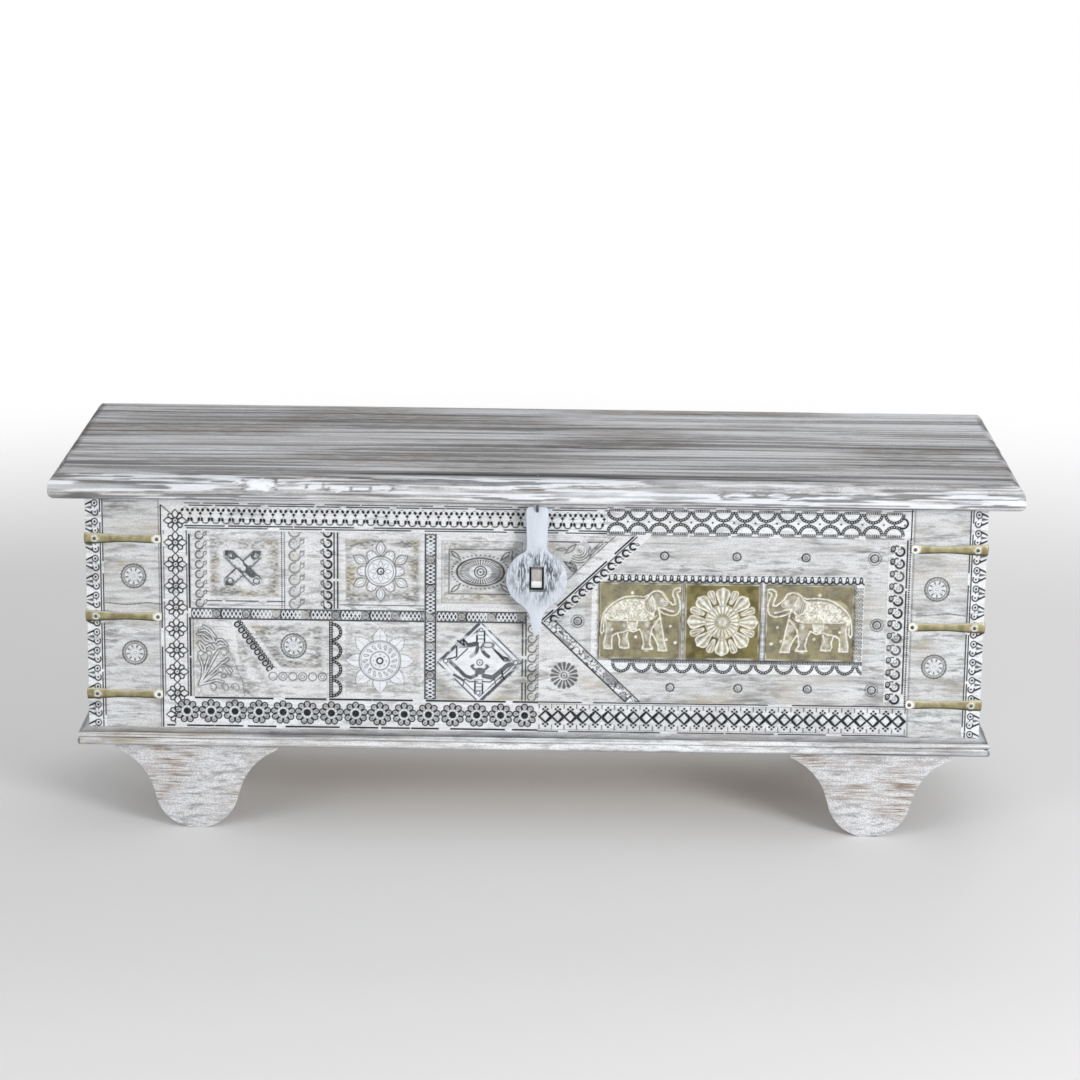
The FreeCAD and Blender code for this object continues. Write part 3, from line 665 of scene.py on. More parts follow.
def arc_through(start, middle, end, steps):
    """Points of a circle's arc through three points."""
    (ax, ay), (bx, by), (cx, cy) = start, middle, end
    twice = 2 * (ax * (by - cy) + bx * (cy - ay) + cx * (ay - by))
    a2, b2, c2 = ax ** 2 + ay ** 2, bx ** 2 + by ** 2, cx ** 2 + cy ** 2
    ox = (a2 * (by - cy) + b2 * (cy - ay) + c2 * (ay - by)) / twice
    oy = (a2 * (cx - bx) + b2 * (ax - cx) + c2 * (bx - ax)) / twice
    angles = np.unwrap([math.atan2(y - oy, x - ox) for x, y in (start, middle, end)])
    sweep = np.linspace(angles[0], angles[2], steps + 1)
    radius = math.hypot(ax - ox, ay - oy)
    return np.stack([ox + radius * np.cos(sweep), oy + radius * np.sin(sweep)], axis=1)


def lid_moulding():
    """Insets and drops of the lid's edge: a steep round, a short upright nose and a round below."""
    ovolo = arc_through((ovolo_run, 0), ovolo_bulge, (0, ovolo_drop), 18)
    nose_foot = ovolo_drop + nose_height
    nose = [(0, ovolo_drop + share * nose_height) for share in (0.25, 0.5, 0.75)]
    turn = np.linspace(0, math.pi / 2, 11)
    below = np.stack([under_round * (1 - np.cos(turn)), nose_foot + under_round * np.sin(turn)], axis=1)
    profile = np.concatenate([ovolo, nose, below])
    return profile[:, 0], profile[:, 1]


# Knots of the front edge: place along it, way over the moulding, half length and half height
knots = ((-328, 13, 15, 7), (-262, 13, 10, 3), (-233, 17, 13, 3.2), (-184, 15, 11, 3), (240, 18, 16, 3.4),
         (287, 18, 12, 3))


def worn_edge(x, run):
    """White, rubbed front edge of the lid: run is the way over the moulding from the top arris."""
    bent = run + 2.5 * soft_noise(x, run, 160, 30, 19)
    lines = soft_noise(x, bent, 95, 2.1, 9)
    fine = soft_noise(x, bent, 40, 1.7, 14)
    patches = soft_noise(x, run, 95, 14, 15)
    low_half = held((run - 14) / 8)
    dark = 0.62 * held((lines - 0.62 + 0.04 * low_half) * 11) * np.clip(patches * 2.4 - 0.2, 0.3, 1)
    dark = np.maximum(dark, 0.6 * held((fine - 0.66) * 14) * np.clip(patches * 2, 0.35, 1))
    low_line = line(run - 32.6 - 1.6 * patches, 1.8)
    low_line = low_line * held(soft_noise(x, run, 70, 40, 20) * 4 - 1)
    dark = np.maximum(dark, 0.7 * low_line)
    warm = 0.7 * held((soft_noise(x, bent, 90, 5, 16) - 0.52) * 5)
    left_share = held((-150 - x) / 120)
    bright = np.clip((0.60 + 0.10 * left_share - soft_noise(x, bent, 100, 2.8, 17)) * 5, 0, 0.65)
    ragged = 1.0 * (soft_noise(x, run, 6, 2.2, 18) - 0.5)
    for knot_x, knot_run, half, tall in knots:
        far = np.hypot((x - knot_x) / half, (run - knot_run) / tall) + ragged
        rim = held((0.22 - np.abs(far - 1.25)) * 8)
        rim = rim * held((np.abs(x - knot_x) / half - 0.8) * 4)
        white = np.clip((1.0 - far) * 5, 0, 0.9 if tall > 5 else 0.6)
        dark = np.maximum(dark * (1 - white), 0.62 * rim)
        warm = warm * (1 - white)
        bright = np.maximum(bright * (1 - rim), white)
    return dark, warm, bright * (1 - held(dark * 1.4))


def grain_lines(x, y, length, cell, width, seed):
    """Long dark lines of the grain, where a drawn-out noise passes its middle height."""
    height = soft_noise(x, y, length, cell, seed)
    return held((width - np.abs(height - 0.5)) * 9)


def lid_grain(x, y):
    """Ridges of the weathered lid, with dark streaks in the furrows and a whiter, worn front edge."""
    wander = 12 * soft_noise(x, y, 420, 150, 3) + 3 * soft_noise(x, y, 130, 60, 4)
    s = y + wander
    patches = soft_noise(x, y, 170, 34, 7)
    breaks = soft_noise(x, s, 120, 9, 10)
    long_lines = grain_lines(x, s, 560, 19, 0.15, 5) * np.clip(breaks * 2.4 - 0.4, 0.3, 1)
    short_lines = grain_lines(x, s, 300, 13, 0.15, 8) * np.clip(1.6 - breaks * 2.2, 0.2, 1)
    fine = soft_noise(x, s, 300, 6.2, 6)
    clouds = soft_noise(x, s, 300, 18, 21)
    cut = Carving(x, y)
    cut.ground = ridge_depth * held(0.6 * np.maximum(long_lines, short_lines) + 0.4 * fine)
    streaks = np.maximum(0.80 * long_lines, 0.62 * short_lines) * held(0.4 + 1.1 * patches)
    streaks = np.maximum(streaks, 0.18 * held((clouds - 0.50) * 4))
    streaks = held(0.36 * streaks + 0.42 * held((fine - 0.55) * 9))
    pale = 0.5 * held((0.44 - fine) * 5) * held(1.4 - 1.5 * patches)
    run = lid_front + ovolo_run - y
    behind_edge = held(1 - np.abs(run + 22) / 17) * held(patches * 2.6 - 0.5)
    front_edge = held((run + 5 + 4 * soft_noise(x, y, 40, 8, 22)) / 3)
    worn, warm, bright = worn_edge(x, run)
    end_run = np.abs(x) - cad_box[1][0] * 1000 + ovolo_run
    end_share = held((end_run + 2) / 2.5) * (1 - front_edge)
    end_mottle = soft_noise(y, x, 26, 6, 23)
    # Both ends are darkened in patches; the left end is painted darker all along, as the shade on the end
    # turned away from the key lamp.
    end_stain_and_shade = np.where(x < 0, np.clip(end_mottle * 1.3, 0.35, 0.8), np.clip((end_mottle - 0.35) * 2, 0, 0.7))
    cut.dark = (streaks + 0.30 * behind_edge * (0.4 + fine)) * (1 - front_edge) + worn * front_edge
    cut.dark = cut.dark * (1 - end_share) + end_stain_and_shade * end_share
    cut.patina = np.clip((patches - 0.45) * 2.4, 0, 0.9) * (1 - front_edge) + warm * front_edge
    cut.bright = pale * (1 - front_edge) * (1 - end_share) + bright * front_edge
    return cut


moulding = lid_moulding()
board_edge = eased(board_arris, lid_thickness)
front_step = 3.3
board_step = 6.0
furrow_step = 1.1
wire_groove = 1.5 + np.array([-2.2, -1.6, 0, 1.6, 2.2])
for name in ("lid_front_board", "lid_middle_board", "lid_back_board"):
    low, high = corners(name)
    first_edge = moulding if name == "lid_front_board" else board_edge
    board_lines = Lines(low[1], high[1], furrow_step, first_edge, board_edge)
    step = front_step if name == "lid_front_board" else board_step
    board = plank("weathered_" + name, "top",
                  Lines(low[0], high[0], step, moulding, moulding, wire_groove), board_lines, lid_top,
                  lid_grain, wrap=True)
    dress(board, "lid", "whitewashed_wood", lid_wash, name)

# %% [markdown]
# The ends and the back are plain planks under the same wash, with only a shallow grain. They are folded
# planks too, so that every edge has its worn arris. The hinge leaves lie in shallow mortises, cut out
# of the back planks with a Boolean modifier.

# %% Plank the ends and the back
plank_arris = 1.0
plank_grain = 0.35
plank_joint_share = 0.533
plank_steps = (5.0, 1.8)


def wall_grain(u, v):
    """Shallow furrows of a planed and brushed plank."""
    wander = 8 * soft_noise(u, v, 260, 90, 11)
    streaks = soft_noise(u, v + wander, 340, 4.2, 12)
    blotch = soft_noise(u, v, 150, 40, 13)
    cut = Carving(u, v)
    furrow = held((streaks - 0.5) * 2.4)
    cut.ground = plank_grain * furrow
    cut.dark = 0.30 * furrow * blotch
    cut.patina = held(blotch - 0.45) * 0.9
    return cut


def cut_away(piece, cutter):
    """Take a cutter's shape out of a piece."""
    cut = piece.modifiers.new("cut", "BOOLEAN")
    cut.operation = "DIFFERENCE"
    cut.object = cutter
    bpy.context.view_layer.objects.active = piece
    bpy.ops.object.modifier_apply(modifier=cut.name)
    bpy.data.objects.remove(cutter)


def chop(piece, low, high):
    """Take a box out of a piece."""
    bpy.ops.object.select_all(action="DESELECT")
    middle = (np.array(low) + np.array(high)) / 2000
    bpy.ops.mesh.primitive_cube_add(size=1, location=middle)
    cutter = bpy.context.object
    cutter.scale = (np.array(high) - np.array(low)) / 1000
    bpy.ops.object.transform_apply(location=True, scale=True)
    cut_away(piece, cutter)


def wall_planks(node, way, span, face, thickness):
    """Two planks that make up one wall, the joint between them where the solids have it."""
    low, high = corners(node)
    joint = low[2] + (high[2] - low[2]) * plank_joint_share
    edge = eased(plank_arris, thickness)
    planks = []
    for part, bottom, top in (("lower", low[2], joint), ("upper", joint, high[2])):
        across = Lines(*span, plank_steps[0], edge, edge)
        upright = Lines(bottom, top, plank_steps[1], edge, edge)
        planks.append(plank(part + "_" + node, way, across, upright, face, wall_grain))
    return planks


for node, way in (("left_end_boards", "left"), ("right_end_boards", "right")):
    low, high = corners(node)
    span = (-high[1], -low[1]) if way == "left" else (low[1], high[1])
    face = -low[0] if way == "left" else high[0]
    for board in wall_planks(node, way, span, face, high[0] - low[0]):
        dress(board, "chest", "whitewashed_wood", side_wash, node)
low, high = corners("back_boards")
back_planks = wall_planks("back_boards", "back", (-high[0], -low[0]), high[1], high[1] - low[1])
leaf_low, leaf_high = corners("body_hinge_leaves")
leaf_length = 76.0
leaf_reach = 14.0
leaf_room = 2.1
mortise_play = 0.05
for leaf_x in (leaf_low[0], leaf_high[0] - leaf_length):
    chop(back_planks[1], (leaf_x - mortise_play, high[1] - leaf_reach, high[2] - leaf_room),
         (leaf_x + leaf_length + mortise_play, high[1] + leaf_reach, high[2] + leaf_reach))
    chop(bpy.data.objects["weathered_lid_back_board"],
         (leaf_x - mortise_play, high[1] - leaf_reach, high[2] - leaf_reach),
         (leaf_x + leaf_length + mortise_play, high[1] + leaf_reach, high[2] + leaf_room))
for board in back_planks:
    dress(board, "chest", "whitewashed_wood", plain_wash, "back_boards")

# %% [markdown]
# The plinth is a moulded rail: a sloped top, then two beads with dark lines between them. Its profile is
# two arcs and a slope, folded over the front and the ends of the rails, so the corners mitre like the
# real ones.

# %% Mould the plinth
slope_run = 8.0
slope_drop = 4.0
bead_depth = 3.0
bead_line_drop = 10.4
bead_steps = (8, 10)
rail_arris = 0.6
rail_step = 4.0
rail_low, rail_high = corners("front_plinth_rail")
plinth_height = rail_high[2] - rail_low[2]


def plinth_moulding():
    """Insets and drops of the plinth's edge: the slope, the upper bead and the lower bead."""
    upper = arc_through((bead_depth, slope_drop), (0, (slope_drop + bead_line_drop) / 2),
                        (bead_depth, bead_line_drop), bead_steps[0])
    lower = arc_through((bead_depth, bead_line_drop), (0, (bead_line_drop + plinth_height) / 2),
                        (bead_depth, plinth_height), bead_steps[1])
    profile = np.concatenate([[(bead_depth + slope_run, 0)], upper, lower[1:]])
    return profile[:, 0], profile[:, 1]


plinth_edge = plinth_moulding()
square_edge = eased(rail_arris, plinth_height)
edge_runs = np.cumsum(np.hypot(np.diff(plinth_edge[0]), np.diff(plinth_edge[1])))
quirks = (edge_runs[0], edge_runs[bead_steps[0]], edge_runs[-1] - 1.0)


def rail_stain_and_shading(low, high, left_edge, right_edge):
    """Relief of a rail: dark lines of painted shade in the quirks beside the beads, a painted highlight
    along the sloped top, and worn streaks along them.
    """
    inset = plinth_edge[0][0]

    def relief(u, v):
        over = low[1] + inset - v
        if left_edge is plinth_edge:
            over = np.maximum(over, low[0] + inset - u)
        if right_edge is plinth_edge:
            over = np.maximum(over, u - high[0] + inset)
        cut = Carving(u, v)
        patches = soft_noise(u, over, 90, 9, 22)
        cut.dark = 0.9 * held((soft_noise(u, over, 150, 2.0, 21) - 0.55) * 3) * patches
        # Painted shade: dark lines in the quirks beside the beads and along the foot of the lower bead.
        for quirk in quirks:
            cut.darken(line(over - quirk, 1.3) * (0.45 + 0.5 * patches))
        cut.patina = held(soft_noise(u, over, 120, 8, 23) - 0.45) * 1.4
        # Painted highlight: a white band along the sloped top of the moulding, which faces the light.
        cut.bright = 0.6 * line(over - quirks[0] / 2, 6)
        return cut

    return relief


rail_edges = {
    "front_plinth_rail": (plinth_edge, plinth_edge, plinth_edge, square_edge),
    "back_plinth_rail": (square_edge, square_edge, square_edge, square_edge),
    "left_plinth_rail": (plinth_edge, square_edge, square_edge, square_edge),
    "right_plinth_rail": (square_edge, plinth_edge, square_edge, square_edge),
}
for name, (left_edge, right_edge, front_edge, back_edge) in rail_edges.items():
    low, high = corners(name)
    rail = plank("moulded_" + name, "top", Lines(low[0], high[0], rail_step, left_edge, right_edge),
                 Lines(low[1], high[1], rail_step, front_edge, back_edge), high[2],
                 rail_stain_and_shading(low, high, left_edge, right_edge))
    dress(rail, "chest", "whitewashed_wood", plinth_wash, name)

# %% [markdown]
# The front is a patchwork: blocks sawn from old carved panels are laid side by side on the front board.
# Each border repeats one small motif, so a motif is a function of the place measured from its middle,
# and the row hands it out at a pitch, with a small slip of the hand from one to the next.

# %% Carve the borders
block_arris = 0.5
carve_step = 0.7
field_left = corners("top_star_border")[0][0]
quatrefoil_middle = field_left + 19.0
quatrefoil_lowest = 171.0
quatrefoil_pitch = 26.98


def saw(piece, place, away):
    """Saw a piece through at a place (x, z) and drop what lies away from there."""
    open_mesh(piece)
    bpy.ops.mesh.bisect(plane_co=(place[0] / 1000, 0, place[1] / 1000), plane_no=(away[0], 0, away[1]),
                        use_fill=True, clear_outer=True)
    bpy.ops.object.mode_set(mode="OBJECT")
    bpy.ops.object.shade_smooth_by_angle(angle=smooth_angle)


def tool_marks(cut):
    """Uneven ground of hand-planed wood, with faint stains."""
    cut.ground = 0.22 * cut.noise(26, 3.2, 31)
    cut.patina = 0.45 * held(cut.noise(60, 26, 32) - 0.5)


def carve(node, pattern, finish=carved_wash, step=carve_step, slot="carved_wood", sawn=()):
    """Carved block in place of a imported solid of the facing, sawn to its outline where that is slanted."""
    low, high = corners(node)
    edge = eased(block_arris, high[1] - low[1])

    def relief(x, z):
        cut = Carving(x, z)
        cut.left, cut.right, cut.low, cut.high = low[0], high[0], low[2], high[2]
        tool_marks(cut)
        pattern(cut)
        return cut

    block = plank("carved_" + node, "front", Lines(low[0], high[0], step, edge, edge),
                  Lines(low[2], high[2], step, edge, edge), -low[1], relief)
    for place, away in sawn:
        saw(block, place, away)
    return dress(block, "chest", slot, finish, node)


def quatrefoil(u, v):
    """Four pointed petals, a round leaf in each corner and a ringed dot."""
    petal = almond(*fanned(u, v, 4, 0), 3.2, 13.6, 3.7)
    leaf = drop_petal(*fanned(u, v, 4, 45), 5.6, 8.4, 1.7, 2.6)
    far = np.hypot(u, v)
    lines = [line(petal, 1.7), line(leaf, 1.6), line(far - 3.0, 1.3), groove(far, 2.0)]
    return np.max(lines, axis=0)


def quatrefoil_border(cut):
    """Column of quatrefoils between broken lines."""
    number, v = repeated(cut.z, quatrefoil_lowest, quatrefoil_pitch, 9)
    u = cut.x - quatrefoil_middle + by_hand(number, 0.35)
    cut.cut(quatrefoil(u, v + by_hand(number, 0.25, 1)))
    cut.cut(dashes(cut.z, cut.x - cut.left - 1.5, 1.9, 97, 0.98))
    cut.cut(dashes(cut.z + 30, cut.x - cut.left - 4.6, 1.2, 71, 0.97), dark=0.85)
    cut.cut(dashes(cut.z, cut.x - cut.right + 4.8, 1.3, 61, 0.96))
    cut.cut(dashes(cut.z + 20, cut.x - cut.right + 1.6, 2.4, 53, 0.97))


def star_motif(u, v):
    """A plain star left standing between two horseshoes, one open downwards and one upwards."""
    side = np.abs(u)
    cap = groove(to_line(side, v, (0, 8.8), (1.3, 8.5)), 1.0) * 0.7
    upper = groove(to_line(side, v, (2.9, 6.0), (3.6, 4.9)), 3.3)
    lower = groove(to_line(side, v, (4.5, -5.2), (4.2, -7.2)), 3.2)
    foot = groove(to_path(side, v, ((3.4, -9.4), (2.2, -10.5), (0, -10.9))), 1.5) * 0.9
    dot = groove(np.abs(side - 6.2) + np.abs(v - 1.2), 4.6)
    speck = groove(np.abs(side - 6.2) + np.abs(v + 2.2), 1.8) * 0.8
    return np.max([cap, upper, lower, foot, dot, speck], axis=0)


def star_border(cut):
    """Row of stars between broken lines, after the topmost quatrefoil of the left border."""
    number, u = repeated(cut.x, field_left + 30.9, 12.4, 41)
    v = cut.z - cut.low - 19.6
    stars = star_motif(u + by_hand(number, 0.3), v + by_hand(number, 0.3, 1))
    stars = stars * (cut.x > field_left + np.where(v > 0, 23, 31))
    cut.cut(stars)
    reach = cut.x > field_left + 30
    for level, width, pitch in ((31.0, 1.3, 31.0), (33.8, 1.0, 47.0), (5.8, 1.7, 83.0), (3.0, 1.2, 57.0)):
        cut.cut(dashes(cut.x, cut.z - cut.low - level, width, pitch, 0.94) * reach)
    cut.cut(groove(to_line(cut.x, cut.z, (cut.left + 2, cut.low + 31), (cut.left + 13, cut.low + 21)), 1.2))
    top = quatrefoil_lowest + 8 * quatrefoil_pitch
    cut.cut(quatrefoil(cut.x - quatrefoil_middle, cut.z - top))
    cut.cut(line(cut.x - cut.left - 1.5, 1.7) * (cut.z < cut.low + 31))


def beaded_arc(u, v, radius, width, beads):
    """Dark band along a half ring above v = 0, with pale beads left standing in it."""
    far = np.hypot(u, v)
    angle = np.arctan2(v, u)
    step = math.pi / beads
    off = angle - (np.floor(angle / step) + 0.5) * step
    bead = np.hypot(far - radius, off * radius)
    band = line(far - radius, width) * held(v * 2 + 0.5)
    return band * (1 - 0.8 * groove(bead, 1.5))


def ribbed_bar(u, v, half, height, pitch=2.2):
    """Row of short upright cuts in a bar."""
    off = u - np.rint(u / pitch) * pitch
    bar = inside(in_box(u, v, -half, half, -height / 2, height / 2))
    return np.maximum(groove(np.abs(off), 1.3, 0.5), line(v - height / 2, 1.0)) * bar


def arch_border(cut):
    """Beaded arcs from above and below, ribbed bars on them, and a curl at the right end."""
    number, u = repeated(cut.x, cut.left + 12.0, 25.5, 14)
    u = u + by_hand(number, 0.4)
    v = cut.z - cut.low - 18.2
    cut.cut(beaded_arc(u, v + 13.6, 11.0, 3.9, 11))
    cut.cut(beaded_arc(u, 13.6 - v, 11.0, 3.9, 11))
    cut.cut(ribbed_bar(u, v - 14.0, 9.0, 3.6))
    cut.cut(ribbed_bar(u, -v - 14.0, 9.0, 3.6))
    cut.cut(groove(np.hypot(np.abs(u) - 12.75, v), 2.4))
    cut.cut(groove(np.hypot(u, v), 2.0))
    cut.cut(dashes(cut.x, v - 17.2, 1.1, 40, 0.9), dark=0.8)
    cut.cut(dashes(cut.x, v + 17.0, 1.1, 52, 0.9), dark=0.8)
    curl_x, curl_z = cut.x - cut.right + 13, v - 2.0
    cut.cut(open_ring(curl_x, curl_z, 6.0, 2.4, 160, 60) * (cut.x > cut.right - 21))
    cut.line(cut.x - cut.right + 2.2, 1.4)


def bell_motif(u, v, radius, width):
    """Open ring with a bud on its left, as on a string of bells."""
    ring = open_ring(u, v, radius, width, 150, 38)
    bud = almond(*turned(u + radius * 1.35, v - radius * 0.35, 120), -radius * 0.55, radius * 0.75,
                 radius * 0.36)
    knob = groove(np.hypot(u - radius * 0.2, v - radius * 0.15), radius * 0.30)
    return np.max([ring, line(bud, 1.2), knob * 0.8], axis=0)


bell_pitch = 15.4


def bell_border(cut):
    """Column of open rings with buds, beside a broken line and a row of dots."""
    count = int((cut.high - cut.low - 15) / bell_pitch) + 1
    number, v = repeated(cut.z, cut.low + 8.0, bell_pitch, count)
    u = cut.x - cut.left - 13.5 + by_hand(number, 0.4)
    bold = np.clip(1.3 - 0.5 * cut.noise(60, 45, 34), 0.75, 1)
    cut.cut(open_ring(u, v, 5.2, 2.7, 135, 48) * bold)
    cut.line(np.hypot(u + 0.6, v - 0.8) - 2.0, 0.9, dark=0.5)
    bud = np.hypot(u + 8.4, (v - 3.4) * 0.85)
    cut.cut(np.maximum(line(bud - 2.4, 1.5), groove(bud, 1.6)) * bold)
    cut.cut(groove(to_path(u, v, ((-11.0, 0.6), (-9.4, -0.8), (-6.8, -0.4))), 1.5) * bold)
    cut.cut(groove(to_path(u, v, ((-6.4, 5.4), (-4.6, 7.2), (-2.2, 6.4))), 1.6) * bold)
    cut.cut(dashes(cut.z, cut.x - cut.right + 6.2, 1.8, 70, 0.97))
    cut.cut(dots(cut.z, cut.x - cut.right + 2.8, 2.2, 2.9))


def daisy(cut, u, v, petals, reach):
    """Round-petalled daisy: shaded petals with a dark outline, a dot near each tip and a dark eye."""
    far = np.hypot(u, v)
    along, across = fanned(u, v, petals)
    petal = drop_petal(along, across, reach * 0.46, reach * 0.76, reach * 0.10, reach * 0.24)
    cut.darken(0.34 * inside(petal))
    cut.cut(line(petal, 1.6) * held((far - reach * 0.47) * 2))
    gap = inside(-petal) * held((reach * 0.78 - far) * 2) * held((far - reach * 0.52) * 2)
    cut.cut(gap)
    cut.line(np.hypot(along - reach * 0.78, across) - 1.0, 0.9, 0.5, 0.75)
    cut.cut(groove(far, reach * 0.62), 1.2)


def daisy_border(cut):
    """Row of daisies between broken lines, after the lowest quatrefoil of the left border."""
    number, u = repeated(cut.x, field_left + 30.3, 29.3, 15)
    v = cut.z - cut.low - 20.5
    u = u + by_hand(number, 0.5)
    daisy(cut, u, v + by_hand(number, 0.4, 1), 9, 14.4)
    cut.cut(dashes(cut.x, cut.z - cut.high + 1.9, 2.6, 56, 0.94) * (cut.x > field_left + 30))
    cut.cut(dashes(cut.x + 9, cut.z - cut.low - 2.6, 2.1, 40, 0.88) * (cut.x > field_left + 6))
    corner = cut.x < field_left + 17
    cut.cut(quatrefoil(cut.x - quatrefoil_middle, cut.z - quatrefoil_lowest + quatrefoil_pitch) * corner)
    cut.cut(quatrefoil(cut.x - quatrefoil_middle, cut.z - quatrefoil_lowest) * (cut.z > cut.high - 12))
    cut.line(cut.x - cut.left - 1.5, 1.7)


def diamond_border(cut):
    """Row of diamonds with dots above and below them, between hatched lines."""
    number, u = repeated(cut.x, cut.left + 9.0, 15.3, 29)
    v = cut.z - cut.low - 20.0
    u = u + by_hand(number, 0.35)
    cut.darken(0.2 * cut.noise(9, 9, 33))
    spread = np.abs(u) / 7.4 + np.abs(v) / 7.4
    heavy = 2.5 + 1.3 * held(u * np.sign(by_hand(number, 1.0, 2)) / 4)
    cut.cut(groove(np.abs(spread - 1) * 5.2, heavy))
    cut.cut(groove(np.hypot(np.abs(u) - 7.65, v), 2.8))
    for side in (1, -1):
        for dot_u, dot_v in ((0, 12.2), (2.7, 9.4), (-2.7, 9.4)):
            cut.cut(groove(np.hypot(u - dot_u, v * side - dot_v), 2.9))
        cut.cut(groove(to_line(np.abs(u), v * side, (7.65, 10.5), (7.65, 15.5)), 1.3) * 0.85)
    hatch = dots(cut.x * 0.7 + cut.z, cut.z - cut.high + 4.2, 1.3, 2.2)
    cut.cut(np.maximum(hatch, dots(cut.x, cut.z - cut.low - 3.8, 1.3, 2.2)), dark=0.7)
    cut.cut(dashes(cut.x, cut.z - cut.high + 1.5, 1.7, 120, 0.97))
    cut.cut(dashes(cut.x, cut.z - cut.low - 1.4, 1.4, 66, 0.9))


border_patterns = {
    "top_star_border": star_border,
    "top_arch_border": arch_border,
    "left_quatrefoil_border": quatrefoil_border,
    "right_bell_border": bell_border,
    "bottom_daisy_border": daisy_border,
    "bottom_diamond_border": diamond_border,
}
for node, pattern in border_patterns.items():
    carve(node, pattern, tile_wash if pattern is bell_border else carved_wash)

# %% [markdown]
# The left half is a set of square tiles, each with its own device, parted by dark strips of rosettes and
# lattice. A tile's ground is sunk a little, and the flower, sun or oval stands up in it. The wash is
# rubbed thin near the rim of the sunk ground, in level smudges that show grey and brown.

# %% Carve the tiles of the left half
tile_sink = 0.9


def sunk_field(cut, rim, stain=0.95):
    """Sunk ground inside a rim, smudged grey and brown in a soft band along it."""
    ragged = cut.noise(3.2, 1.6, 41)
    cloud = cut.noise(24, 12, 42)
    far = -rim - 3.0 * (ragged - 0.5)
    share = inside(rim, 2.6)
    band = held(far / 2.5) * held(1.9 - far / (5.0 + 6.5 * cloud))
    cut.sink(share, tile_sink)
    smudge = share * stain * band * held(0.5 + 0.8 * cloud)
    cut.stain(held(smudge * (0.55 + 0.75 * ragged)))
    cut.darken(0.42 * smudge * held((ragged - 0.46) * 5))


def lifted(cut, distance, high, rim=1.0, dark=0.6):
    """Motif left standing, with a fine gouged outline round it."""
    cut.lift(inside(distance), high)
    cut.line(distance, rim, 0.6, dark)


def scroll_strip(cut, along, across, half, count):
    """Strip between two dark lines: a chain of diamonds, then a pale rosette and a bar, over and over."""
    length = 36.0
    u = repeated(along, length / 2, length, count)[1]
    bed = half * 0.72
    within = inside(np.abs(across) - bed)
    pitch = 4.9
    off = u - np.rint(u / pitch) * pitch
    far = np.abs(off) + np.abs(across) * 0.5
    outline = line(far - pitch / 2, 1.3)
    core = groove(far, 2.6)
    chain = held(0.5 + 0.6 * core + 0.4 * (far > pitch / 2)) * (1 - 0.95 * outline)
    rosette_u = u - 12.2
    round_far = np.hypot(rosette_u, across)
    petals = drop_petal(*fanned(rosette_u, across, 6), 2.0, 3.4, 0.5, 1.0)
    rosette = np.max([line(round_far - 4.8, 1.2), 0.7 * line(petals, 0.8), groove(round_far, 1.5),
                      0.7 * inside(6.2 - round_far)], axis=0)
    bar = line(np.abs(u) - length / 2, 1.5)
    on_rosette = u > 7.2
    worn = np.clip(cut.noise(14, 7, 47) * 2.2, 0.5, 1)
    cut.cut(np.maximum(np.where(on_rosette, rosette, chain), bar) * within * worn)
    cut.line(np.abs(across) - half * 0.84, 1.7)
    cut.stain(0.45 * within * on_rosette)
    cut.whiten(0.6 * outline * within * ~on_rosette)


def cross_tile(cut):
    """Column of bells beside the plain sunk square on which the iron cross is nailed."""
    v = repeated(cut.z, cut.low + 5.0, 12.1, 8)[1]
    u = cut.x - cut.left - 10.5
    cut.cut(bell_motif(-u, v, 4.7, 1.9), dark=0.78)
    cut.stain(0.35 * groove(np.hypot(u, v), 9))
    sunk_field(cut, in_box(cut.x, cut.z, cut.left + 22, cut.right - 7, cut.low + 13, cut.high - 8))
    right_part = cut.x > cut.left + 19
    cut.cut(dashes(cut.x, cut.z - cut.low - 8.6, 1.3, 44, 0.94) * right_part, dark=0.85)
    cut.cut(line(cut.z - cut.low - 3.4, 0.9) * right_part, dark=0.4)
    cut.cut(dots(cut.z, cut.x - cut.right + 4.4, 1.7, 2.6))
    cut.line(cut.x - cut.right + 1.2, 1.1, dark=0.75)


def bell_strip(cut):
    """Two columns of bells with a plain sunk strip between them."""
    v = repeated(cut.z, cut.low + 6.0, 14.9, 7)[1]
    cut.cut(bell_motif(-(cut.x - cut.left - 11.0), v, 6.4, 2.0), dark=0.6)
    cut.stain(0.4 * groove(np.hypot(cut.x - cut.left - 11, v), 12))
    leaf = almond(*turned(cut.x - cut.left - 20.5, v - 6.5, 35), -3.2, 3.6, 1.8)
    cut.line(leaf, 1.1, dark=0.65)
    cut.sink(inside(np.abs(cut.x - cut.left - 33.0) - 8.5, 2.5), 0.8)
    v = repeated(cut.z, cut.low + 4.0, 12.9, 8)[1]
    cut.cut(bell_motif(cut.x - cut.left - 51.0, v, 4.6, 2.6))
    cut.cut(groove(np.hypot(cut.x - cut.left - 45.5, v - 5.5), 2.2))
    for place, width in ((6.4, 1.7), (2.2, 1.9)):
        cut.cut(dashes(cut.z, cut.x - cut.right + place, width, 37, 0.95))


